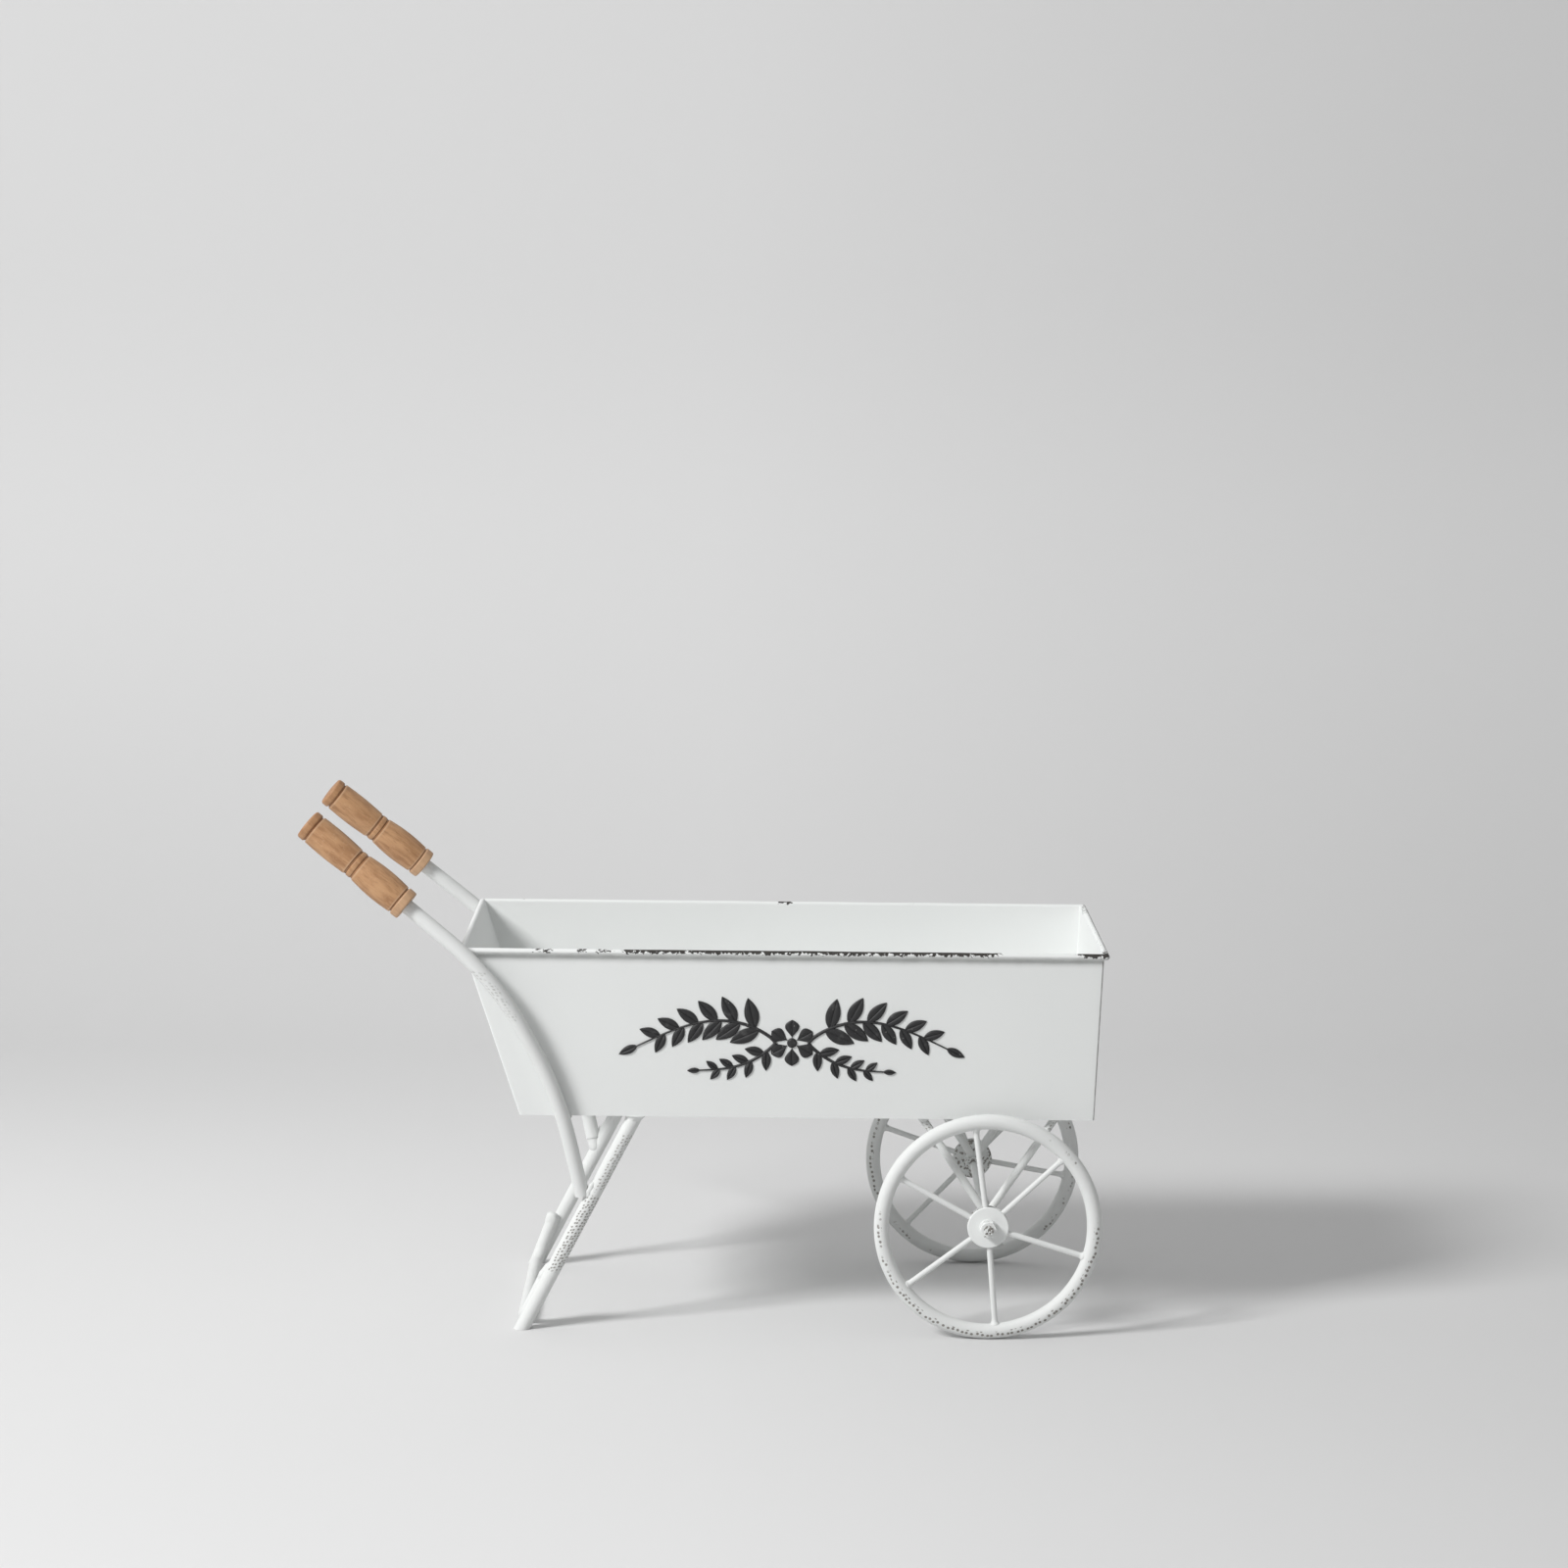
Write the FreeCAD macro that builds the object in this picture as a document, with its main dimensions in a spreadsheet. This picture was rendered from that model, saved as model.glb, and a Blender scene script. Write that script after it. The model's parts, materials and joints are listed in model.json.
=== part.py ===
"""Wheelbarrow planter: an enamelled sheet tray on two spoked wheels, bent handle rods and a rod stand.

+X runs from the handles to the wheels, +Y to the left of a person who pushes it, +Z up.
The origin is on the ground, in the middle of the whole object's length and width.
"right" pieces are on the -Y side and "left" pieces on the +Y side.
"""
import FreeCAD, Part
import math
import os
import Sketcher

# Driving dimensions, in millimetres
DIMENSIONS = {
    # Tray: outer size over the rolled rim, heights above the ground, and how far its base stands in
    "tray_centre_x": 57.5,
    "rim_length": 444.0,
    "rim_width": 226.0,
    "rim_height": 268.8,
    "base_height": 151.0,
    "rear_base_inset": 41.3,
    "front_base_inset": 7.4,
    "side_base_inset": 13.0,
    "sheet_thickness": 1.0,
    "roll_diameter": 4.4,
    "rim_wire_diameter": 2.2,
    # Handle rods: setbacks are measured back from the middle of the tray
    "rod_diameter": 10.2,
    "tip_setback": 325.2,
    "tip_height": 352.7,
    "tip_inset": 5.0,
    "left_handle_sag": 5.2,
    "left_handle_lag": 5.8,
    "rod_upper_setback": 196.6,
    "rod_upper_drop": 19.8,
    "rod_rim_standoff": 2.9,
    "rod_lower_setback": 154.1,
    "rod_lower_height": 168.0,
    "rod_wall_gap": 1.7,
    "rod_weld_height": 94.5,
    "rod_weld_setback": 7.4,
    # Grips, from the collar next to the rod to the cap at the tip
    "grip_length": 88.0,
    "grip_collar_length": 6.2,
    "grip_collar_diameter": 22.0,
    "grip_cap_length": 5.8,
    "grip_cap_diameter": 21.6,
    "grip_barrel_diameter": 22.8,
    "grip_barrel_end_diameter": 20.2,
    "grip_bead_length": 4.6,
    "grip_bead_diameter": 20.0,
    "grip_groove_width": 1.0,
    "grip_groove_diameter": 19.2,
    "grip_edge_chamfer": 1.2,
    "grip_bore_depth": 55.0,
    "grip_bore_clearance": 0.1,
    # Legs and foot bar
    "leg_diameter": 10.2,
    "leg_top_setback": 100.8,
    "leg_foot_setback": 178.8,
    "leg_edge_inset": 5.6,
    "foot_inset": 3.0,
    "foot_bar_diameter": 9.0,
    "foot_bar_rise": 37.0,
    "right_bar_top_setback": 2.6,
    "left_bar_top_setback": 6.0,
    "foot_bar_low_setback": 1.5,
    "foot_bar_bend_radius": 13.0,
    "weld_gap": 0.4,
    # Axle and the struts that carry it
    "axle_offset": 142.0,
    "axle_diameter": 6.0,
    "running_clearance": 0.05,
    "end_play": 0.3,
    "axle_stub": 2.4,
    "boss_length": 16.0,
    "boss_diameter": 12.0,
    "strut_diameter": 5.5,
    "strut_spread": 46.0,
    "strut_edge_inset": 7.0,
    "strut_apex_rise": 4.0,
    "washer_diameter": 12.0,
    "washer_thickness": 1.2,
    "nut_width": 10.0,
    "nut_thickness": 5.0,
    "nut_chamfer": 0.6,
    # Wheels
    "wheel_tray_gap": 6.8,
    "wheel_diameter": 157.0,
    "wheel_tube_diameter": 10.4,
    "spoke_diameter": 4.0,
    "sleeve_diameter": 12.0,
    "sleeve_inner_reach": 9.5,
    "sleeve_outer_reach": 4.6,
    "hub_disc_diameter": 28.4,
    "hub_disc_thickness": 1.5,
    "hub_disc_edge": 0.5,
    # How far a cutting tool or a trimmed blank runs past what it cuts
    "overrun": 20.0,
}

# Share of the shorter neighbouring run that each bend of a handle rod takes up
ROD_BEND_SHARE = 0.45
# Directions of the hand-set spokes, as shares of a full turn from +X towards +Z
SPOKE_TURN_SHARES = {
    "right": (0.12, 0.272, 0.42, 0.603, 0.764, 0.953),
    "left": (0.128, 0.311, 0.447, 0.628, 0.8, 0.972),
}
# Sign of Y on each side
SIDES = {"right": -1, "left": 1}

doc = FreeCAD.newDocument("wheelbarrow_planter")
sheet = doc.addObject("Spreadsheet::Sheet", "Size")
for row, (alias, number) in enumerate(DIMENSIONS.items(), start=1):
    sheet.set(f"A{row}", alias)
    sheet.set(f"B{row}", str(number))
    sheet.setAlias(f"B{row}", alias)
doc.recompute()

# Every sub-part that is written out, by its node name
nodes = {}

# Lines that several pieces share. Lengths along X are from the middle of the tray
TRAY_X = "Size.tray_centre_x"
BASE_Z = "Size.base_height"
ROLL_Z = "(Size.rim_height - Size.roll_diameter / 2)"
WALL_TOP_INSET = "(Size.roll_diameter - Size.sheet_thickness)"
REAR_BASE = "(Size.rear_base_inset - Size.rim_length / 2)"
REAR_TOP = f"({WALL_TOP_INSET} - Size.rim_length / 2)"
FRONT_BASE = "(Size.rim_length / 2 - Size.front_base_inset)"
FRONT_TOP = f"(Size.rim_length / 2 - {WALL_TOP_INSET})"
SIDE_BASE = "(Size.rim_width / 2 - Size.side_base_inset)"
SIDE_TOP = f"(Size.rim_width / 2 - {WALL_TOP_INSET})"
AXLE_X = "(Size.tray_centre_x + Size.axle_offset)"
AXLE_Z = "(Size.wheel_diameter / 2)"
HALF_TRACK = f"({SIDE_BASE} + Size.wheel_tray_gap + Size.wheel_tube_diameter / 2)"
BORE_DIAMETER = "(Size.axle_diameter + 2 * Size.running_clearance)"


def measure(expression):
    """The number that a formula of the sheet gives."""
    value = sheet.evalExpression(expression)
    return float(getattr(value, "Value", value))


def point(place):
    """The point whose three coordinates are formulas."""
    return FreeCAD.Vector(*[measure(coordinate) for coordinate in place])


def bind(thing, formulas):
    """Tie each named property to its formula."""
    for name, formula in formulas.items():
        thing.setExpression(name, formula)


def make(kind, label, formulas):
    """A new object of the document with its sizes tied to the sheet."""
    thing = doc.addObject(kind, label)
    thing.Label = label
    bind(thing, formulas)
    return thing


def vector(x, y, z):
    return f"create(<<vector>>; {x}; {y}; {z})"


def placement(place, *turns):
    """A placement formula: a place, and turns, each an axis and an angle, the outermost first."""
    axes = {"x": "1; 0; 0", "y": "0; 1; 0", "z": "0; 0; 1"}
    rotations = [
        f"create(<<rotation>>; create(<<vector>>; {axes[axis]}); {angle})"
        for axis, angle in turns
    ]
    return f"create(<<placement>>; {vector(*place)}; {' * '.join(rotations)})"


def cut(label, base, tool):
    thing = doc.addObject("Part::Cut", label)
    thing.Label = label
    thing.Base = base
    thing.Tool = tool
    return thing


def common(label, base, tool):
    thing = doc.addObject("Part::Common", label)
    thing.Label = label
    thing.Base = base
    thing.Tool = tool
    return thing


def join(label, pieces):
    thing = doc.addObject("Part::MultiFuse", label)
    thing.Label = label
    thing.Shapes = pieces
    return thing


# Tray

def slab(label, base, top, low, high):
    """A sheet panel between two level rectangles.

    Each rectangle is (X from, X to, Y from, Y to), with X from the tray's middle.
    """
    return make("Part::Wedge", label, {
        "Xmin": base[0], "Xmax": base[1], "Zmin": f"-({base[3]})", "Zmax": f"-({base[2]})",
        "X2min": top[0], "X2max": top[1], "Z2min": f"-({top[3]})", "Z2max": f"-({top[2]})",
        "Ymin": low, "Ymax": high,
        "Placement": placement((TRAY_X, "0", "0"), ("x", "90")),
    })


def inner(outer_face, inwards):
    """The inner face of a wall whose outer face is given; inwards is + or -."""
    return f"({outer_face} {inwards} Size.sheet_thickness)"


def mitred(label, span, reach, turn, diameter):
    """A round bar along one side of the rim, with mitred ends.

    span is the rim's size along the bar and reach its size across, and turn faces the bar outwards.
    """
    facing = placement((TRAY_X, "0", ROLL_Z), ("z", turn))
    bar = make("Part::Cylinder", label + "_bar", {
        "Radius": f"{diameter} / 2",
        "Height": span,
        "Placement": facing + " * " + placement(
            (f"-{span} / 2", f"({reach} - Size.roll_diameter) / 2", "0"), ("y", "90")),
    })
    envelope = make("Part::Wedge", label + "_mitre", {
        "Xmin": f"Size.roll_diameter - {span} / 2", "Xmax": f"{span} / 2 - Size.roll_diameter",
        "X2min": f"-{span} / 2", "X2max": f"{span} / 2",
        "Ymin": f"{reach} / 2 - Size.roll_diameter", "Ymax": f"{reach} / 2",
        "Zmin": "-Size.roll_diameter", "Zmax": "Size.roll_diameter",
        "Z2min": "-Size.roll_diameter", "Z2max": "Size.roll_diameter",
        "Placement": facing,
    })
    return common(label, bar, envelope)


# The sides of the rim: the size along it, the size across, and the turn from +Y to its outward side
RIM_SIDES = {
    "left": ("Size.rim_length", "Size.rim_width", "0"),
    "front": ("Size.rim_width", "Size.rim_length", "-90"),
    "right": ("Size.rim_length", "Size.rim_width", "180"),
    "rear": ("Size.rim_width", "Size.rim_length", "90"),
}


def tray_wall(label, rim_side, base, top):
    """A wall with its top edge rolled outwards into a tube."""
    span, reach, turn = RIM_SIDES[rim_side]
    panel = slab(label + "_panel", base, top, BASE_Z, ROLL_Z)
    bore = "(Size.roll_diameter - 2 * Size.sheet_thickness)"
    outside = mitred(label + "_roll", span, reach, turn, "Size.roll_diameter")
    inside = mitred(label + "_roll_bore", span, reach, turn, bore)
    return join(label, [panel, cut(label + "_roll_tube", outside, inside)])


for side, sign in SIDES.items():
    base_faces = (f"{sign} * {SIDE_BASE}", f"{sign} * {inner(SIDE_BASE, '-')}")
    top_faces = (f"{sign} * {SIDE_TOP}", f"{sign} * {inner(SIDE_TOP, '-')}")
    if sign > 0:
        base_faces = base_faces[::-1]
        top_faces = top_faces[::-1]
    name = "side_wall_" + side
    nodes[name] = tray_wall(
        name, side, (REAR_BASE, FRONT_BASE, *base_faces), (REAR_TOP, FRONT_TOP, *top_faces))

BASE_BETWEEN_SIDES = (f"-{inner(SIDE_BASE, '-')}", inner(SIDE_BASE, "-"))
TOP_BETWEEN_SIDES = (f"-{inner(SIDE_TOP, '-')}", inner(SIDE_TOP, "-"))
END_FACES = {
    "rear": ((REAR_BASE, inner(REAR_BASE, "+")), (REAR_TOP, inner(REAR_TOP, "+"))),
    "front": ((inner(FRONT_BASE, "-"), FRONT_BASE), (inner(FRONT_TOP, "-"), FRONT_TOP)),
}
for end, (base_faces, top_faces) in END_FACES.items():
    name = "end_wall_" + end
    blank = tray_wall(
        name + "_blank", end, (*base_faces, *BASE_BETWEEN_SIDES), (*top_faces, *TOP_BETWEEN_SIDES))
    # The end of the roll gives way to the side walls at the corners
    blank = cut(name + "_trimmed", blank, nodes["side_wall_right"])
    nodes[name] = cut(name, blank, nodes["side_wall_left"])


def at_floor_top(base, top):
    """Where a leaning face stands at the height of the floor's upper side."""
    return f"({base} + ({top} - {base}) * Size.sheet_thickness / ({ROLL_Z} - {BASE_Z}))"


floor_base = (inner(REAR_BASE, "+"), inner(FRONT_BASE, "-"), *BASE_BETWEEN_SIDES)
floor_top = (
    inner(at_floor_top(REAR_BASE, REAR_TOP), "+"),
    inner(at_floor_top(FRONT_BASE, FRONT_TOP), "-"),
    f"-{inner(at_floor_top(SIDE_BASE, SIDE_TOP), '-')}",
    inner(at_floor_top(SIDE_BASE, SIDE_TOP), "-"),
)
nodes["tray_floor"] = slab("tray_floor", floor_base, floor_top, BASE_Z, f"{BASE_Z} + Size.sheet_thickness")

nodes["rim_wire"] = join("rim_wire", [
    mitred(f"rim_wire_{name}", span, reach, turn, "Size.rim_wire_diameter")
    for name, (span, reach, turn) in RIM_SIDES.items()
])


# Straight rods

def straight_rod(label, start, end, diameter, past="0"):
    """A round rod between two places, or past both of them by a further length."""
    run = [f"({b} - ({a}))" for a, b in zip(start, end)]
    length = f"sqrt({run[0]}^2 + {run[1]}^2 + {run[2]}^2)"
    turns = (("z", f"atan2({run[1]}; {run[0]})"), ("y", f"acos({run[2]} / {length})"))
    return make("Part::Cylinder", label, {
        "Radius": f"{diameter} / 2",
        "Height": f"{length} + 2 * {past}",
        "Placement": placement(start, *turns) + " * " + placement(("0", "0", f"-{past}"), ("z", "0")),
    })


def under_tray(label, x_from, x_to):
    """The space between the ground and the tray's underside, over a stretch of the length."""
    return make("Part::Box", label, {
        "Length": f"{x_to} - ({x_from})",
        "Width": "2 * Size.rim_width",
        "Height": BASE_Z,
        "Placement.Base.x": x_from,
        "Placement.Base.y": "-Size.rim_width",
    })


# Legs, cut level under the tray and on the ground

def leg_place(sign, height):
    """Where a leg's axis is at a height."""
    share = f"(({BASE_Z} - {height}) / {BASE_Z})"
    setback = f"(Size.leg_top_setback + (Size.leg_foot_setback - Size.leg_top_setback) * {share})"
    top_y = f"({SIDE_BASE} - Size.leg_edge_inset)"
    return (
        f"({TRAY_X} - {setback})",
        f"({sign} * ({top_y} + ({SIDE_BASE} - Size.foot_inset - {top_y}) * {share}))",
        height,
    )


leg_space = under_tray("leg_space", f"{TRAY_X} - Size.leg_foot_setback - Size.overrun", f"{TRAY_X}")
leg_blanks = {}
for side, sign in SIDES.items():
    foot = leg_place(sign, "0")
    top = leg_place(sign, BASE_Z)
    leg_blanks[side] = straight_rod(f"leg_{side}_blank", foot, top, "Size.leg_diameter", "Size.overrun")
    nodes["leg_" + side] = common("leg_" + side, leg_blanks[side], leg_space)


# Bent rods

def bent_rod(label, points, radii, diameter):
    """A round rod along straight runs joined by tangent arcs, one radius for each inner point."""
    edges = []
    start = points[0]
    for before, corner, after, radius in zip(points, points[1:], points[2:], radii):
        run_in = (corner - before).normalize()
        run_out = (after - corner).normalize()
        half_turn = run_in.getAngle(run_out) / 2
        arc_start = corner - run_in * (radius * math.tan(half_turn))
        arc_end = corner + run_out * (radius * math.tan(half_turn))
        to_centre = (run_out - run_in).normalize()
        arc_middle = corner + to_centre * (radius / math.cos(half_turn) - radius)
        edges.append(Part.LineSegment(start, arc_start).toShape())
        edges.append(Part.Arc(arc_start, arc_middle, arc_end).toShape())
        start = arc_end
    edges.append(Part.LineSegment(start, points[-1]).toShape())
    spine = Part.Wire(edges)
    section = Part.Wire(Part.makeCircle(diameter / 2, points[0], points[1] - points[0]))
    thing = doc.addObject("Part::Feature", label)
    thing.Label = label
    thing.Shape = spine.makePipeShell([section], True, False)
    expected = math.pi * diameter ** 2 / 4 * spine.Length
    if not math.isclose(thing.Shape.Volume, expected, rel_tol=0.001):
        raise RuntimeError(f"{label}: the swept volume differs from its section times its length")
    return thing


def widest_radius(before, corner, after, share):
    """The bend radius that takes up the given share of the shorter of two runs."""
    half_turn = (corner - before).getAngle(after - corner) / 2
    shorter = min(corner.distanceToPoint(before), corner.distanceToPoint(after))
    return share * shorter / math.tan(half_turn)


def handle_route(sign):
    """The tip of a handle, the upper and lower bends of its rod, and the rod's weld on the leg.

    The rods are bent by hand, and the left one comes out a little lower and further back.
    """
    sag = "Size.left_handle_sag" if sign == SIDES["left"] else "0"
    lag = "Size.left_handle_lag" if sign == SIDES["left"] else "0"
    lower_share = f"((Size.rod_lower_height - {BASE_Z}) / ({ROLL_Z} - {BASE_Z}))"
    wall_y = f"({SIDE_BASE} + ({SIDE_TOP} - {SIDE_BASE}) * {lower_share})"
    rim_y = "(Size.rim_width / 2)"
    weld_x, weld_y, weld_z = leg_place(sign, "Size.rod_weld_height")
    return [
        point((f"{TRAY_X} - Size.tip_setback - {lag}", f"{sign} * ({rim_y} - Size.tip_inset)",
               f"Size.tip_height - {sag}")),
        point((f"{TRAY_X} - Size.rod_upper_setback - {lag}",
               f"{sign} * ({rim_y} + Size.rod_diameter / 2 + Size.rod_rim_standoff)",
               f"Size.rim_height - Size.rod_upper_drop - {sag}")),
        point((f"{TRAY_X} - Size.rod_lower_setback",
               f"{sign} * ({wall_y} + Size.rod_diameter / 2 + Size.rod_wall_gap)",
               "Size.rod_lower_height")),
        point((f"{weld_x} - Size.rod_weld_setback", weld_y, weld_z)),
    ]


for side, sign in SIDES.items():
    tip, upper, lower, weld = handle_route(sign)
    inwards = (upper - tip).normalize()
    # The rod starts a little short of the bottom of the grip's bore
    rod_start = tip + inwards * measure(
        "Size.grip_length - Size.grip_bore_depth + Size.grip_bore_clearance")
    route = [rod_start, upper, lower, weld]
    radii = [widest_radius(*route[i:i + 3], ROD_BEND_SHARE) for i in range(2)]
    blank = bent_rod(f"handle_rod_{side}_blank", route, radii, measure("Size.rod_diameter"))
    nodes["handle_rod_" + side] = cut("handle_rod_" + side, blank, leg_blanks[side])


# The foot bar lies on the ground, and its upturned ends lap against the legs

def foot_bar_place(sign, height, setback):
    """A point of the bar's axis beside a leg: set back from the leg's axis, and inwards by what is left."""
    x, y, z = leg_place(sign, height)
    lean = f"atan2(Size.leg_foot_setback - Size.leg_top_setback; {BASE_Z})"
    apart = "((Size.leg_diameter + Size.foot_bar_diameter) / 2 + Size.weld_gap)"
    inwards = f"sqrt({apart}^2 - ({setback} * cos({lean}))^2)"
    return point((f"{x} - {setback}", f"{y} - {sign} * {inwards}", z))


ON_GROUND = "(Size.foot_bar_diameter / 2)"
foot_route = [
    foot_bar_place(-1, "Size.foot_bar_rise", "Size.right_bar_top_setback"),
    foot_bar_place(-1, ON_GROUND, "Size.foot_bar_low_setback"),
    foot_bar_place(1, ON_GROUND, "Size.foot_bar_low_setback"),
    foot_bar_place(1, "Size.foot_bar_rise", "Size.left_bar_top_setback"),
]
nodes["foot_bar"] = bent_rod(
    "foot_bar", foot_route, [measure("Size.foot_bar_bend_radius")] * 2, measure("Size.foot_bar_diameter"))


# Turned pieces

def turned(label, outline, place=None):
    """A body turned about its own Z axis.

    The outline is a closed list of (radius, height, bulge): a corner, and how far the stretch from it
    to the next corner bows outwards, "0" where that is straight.
    """
    body = doc.addObject("PartDesign::Body", label)
    body.Label = label
    sketch = body.newObject("Sketcher::SketchObject", label + "_outline")
    plane = [feature for feature in body.Origin.OriginFeatures if feature.Role == "XZ_Plane"][0]
    sketch.AttachmentSupport = [(plane, "")]
    sketch.MapMode = "FlatFace"
    corners = [FreeCAD.Vector(measure(radius), measure(height), 0) for radius, height, bulge in outline]
    for index, (radius, height, bulge) in enumerate(outline):
        here = corners[index]
        there = corners[(index + 1) % len(corners)]
        rise = measure(bulge)
        if rise:
            side_step = FreeCAD.Vector(there.y - here.y, here.x - there.x, 0).normalize() * rise
            sketch.addGeometry(Part.Arc(here, (here + there) / 2 + side_step, there), False)
        else:
            sketch.addGeometry(Part.LineSegment(here, there), False)
    # An arc runs counter-clockwise in a sketch, so its first end may be the later corner
    ends = []
    for index, here in enumerate(corners):
        first_distance = sketch.getPoint(index, 1).distanceToPoint(here)
        second_distance = sketch.getPoint(index, 2).distanceToPoint(here)
        ends.append((1, 2) if first_distance < second_distance else (2, 1))
    for index, (radius, height, bulge) in enumerate(outline):
        following = (index + 1) % len(outline)
        sketch.addConstraint(Sketcher.Constraint(
            "Coincident", index, ends[index][1], following, ends[following][0]))
        for kind, formula in (("DistanceX", radius), ("DistanceY", height)):
            constraint = sketch.addConstraint(Sketcher.Constraint(
                kind, -1, 1, index, ends[index][0], measure(formula)))
            sketch.setExpression(f"Constraints[{constraint}]", formula)
        if measure(bulge):
            next_radius, next_height, _ = outline[following]
            chord = f"(({next_radius} - {radius})^2 + ({next_height} - {height})^2)"
            bow = f"({chord} / (8 * {bulge}) + {bulge} / 2)"
            constraint = sketch.addConstraint(Sketcher.Constraint("Radius", index, measure(bow)))
            sketch.setExpression(f"Constraints[{constraint}]", bow)
    revolution = body.newObject("PartDesign::Revolution", label + "_turning")
    revolution.Profile = sketch
    revolution.ReferenceAxis = (sketch, ["V_Axis"])
    revolution.Angle = 360
    body.Tip = revolution
    if place:
        body.setExpression("Placement", place)
    return body


def ring_outline(bore, outside, length):
    """The outline of a plain ring: bore and outside diameters, and length."""
    return [
        (f"{bore} / 2", "0", "0"),
        (f"{outside} / 2", "0", "0"),
        (f"{outside} / 2", length, "0"),
        (f"{bore} / 2", length, "0"),
    ]


# Grips: a collar, two barrels with a bead between them, and a cap, parted by narrow grooves

def grip_outline():
    bore_radius = "(Size.rod_diameter / 2 + Size.grip_bore_clearance)"
    groove_radius = "(Size.grip_groove_diameter / 2)"
    barrel_end = "(Size.grip_barrel_end_diameter / 2)"
    barrel_bulge = "((Size.grip_barrel_diameter - Size.grip_barrel_end_diameter) / 2)"
    bead_bulge = "((Size.grip_bead_diameter - Size.grip_groove_diameter) / 2)"
    collar_radius = "(Size.grip_collar_diameter / 2)"
    cap_radius = "(Size.grip_cap_diameter / 2)"
    chamfer = "Size.grip_edge_chamfer"
    groove = "Size.grip_groove_width"
    turned_part = "(Size.grip_length - Size.grip_collar_length - Size.grip_cap_length)"
    barrel_length = f"(({turned_part} - 4 * {groove} - Size.grip_bead_length) / 2)"
    first_barrel = f"(Size.grip_collar_length + {groove})"
    bead = f"({first_barrel} + {barrel_length} + {groove})"
    second_barrel = f"({bead} + Size.grip_bead_length + {groove})"
    cap = "(Size.grip_length - Size.grip_cap_length)"
    return [
        (bore_radius, "0", "0"),
        (f"{collar_radius} - {chamfer}", "0", "0"),
        (collar_radius, chamfer, "0"),
        (collar_radius, "Size.grip_collar_length", "0"),
        (groove_radius, "Size.grip_collar_length", "0"),
        (groove_radius, first_barrel, "0"),
        (barrel_end, first_barrel, barrel_bulge),
        (barrel_end, f"{first_barrel} + {barrel_length}", "0"),
        (groove_radius, f"{first_barrel} + {barrel_length}", "0"),
        (groove_radius, bead, bead_bulge),
        (groove_radius, f"{bead} + Size.grip_bead_length", "0"),
        (groove_radius, second_barrel, "0"),
        (barrel_end, second_barrel, barrel_bulge),
        (barrel_end, f"{cap} - {groove}", "0"),
        (groove_radius, f"{cap} - {groove}", "0"),
        (groove_radius, cap, "0"),
        (cap_radius, cap, "0"),
        (cap_radius, f"Size.grip_length - {chamfer}", "0"),
        (f"{cap_radius} - {chamfer}", "Size.grip_length", "0"),
        ("0", "Size.grip_length", "0"),
        ("0", "Size.grip_bore_depth", "0"),
        (bore_radius, "Size.grip_bore_depth", "0"),
    ]


for side, sign in SIDES.items():
    tip, upper, lower, weld = handle_route(sign)
    outwards = (tip - upper).normalize()
    grip = turned("grip_" + side, grip_outline())
    grip.Placement = FreeCAD.Placement(
        tip - outwards * measure("Size.grip_length"),
        FreeCAD.Rotation(FreeCAD.Vector(0, 0, 1), outwards))
    nodes["grip_" + side] = grip


# Axle, bosses, struts, washers and nuts. Distances along the axle are from the middle outwards

INNER_WASHER = f"({HALF_TRACK} - Size.sleeve_inner_reach - Size.end_play - Size.washer_thickness)"
BOSS = f"({INNER_WASHER} - Size.boss_length)"
SLEEVE = f"({HALF_TRACK} - Size.sleeve_inner_reach)"
OUTER_WASHER = f"({HALF_TRACK} + Size.sleeve_outer_reach + Size.end_play)"
NUT = f"({OUTER_WASHER} + Size.washer_thickness)"
AXLE_END = f"({NUT} + Size.nut_thickness + Size.axle_stub)"


def on_axle(sign, distance):
    """A placement on the axle, at a distance from the middle, with Z pointing outwards."""
    return placement((AXLE_X, f"{sign} * {distance}", AXLE_Z), ("x", str(-90 * sign)))


nodes["axle"] = make("Part::Cylinder", "axle", {
    "Radius": "Size.axle_diameter / 2",
    "Height": f"2 * {AXLE_END}",
    "Placement": on_axle(1, f"-{AXLE_END}"),
})


def nut_blank_outline():
    """A round blank as wide as the nut's corners, chamfered down to its flats on the outer side."""
    corner_radius = "(Size.nut_width / (2 * cos(30)))"
    flat_radius = "(Size.nut_width / 2)"
    return [
        (f"{BORE_DIAMETER} / 2", "0", "0"),
        (corner_radius, "0", "0"),
        (corner_radius, "Size.nut_thickness - Size.nut_chamfer", "0"),
        (flat_radius, "Size.nut_thickness", "0"),
        (f"{BORE_DIAMETER} / 2", "Size.nut_thickness", "0"),
    ]


strut_reach = "(Size.strut_spread + Size.overrun)"
strut_spaces = {
    "front": under_tray("strut_space_front", AXLE_X, f"{AXLE_X} + {strut_reach}"),
    "rear": under_tray("strut_space_rear", f"{AXLE_X} - {strut_reach}", AXLE_X),
}

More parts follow.
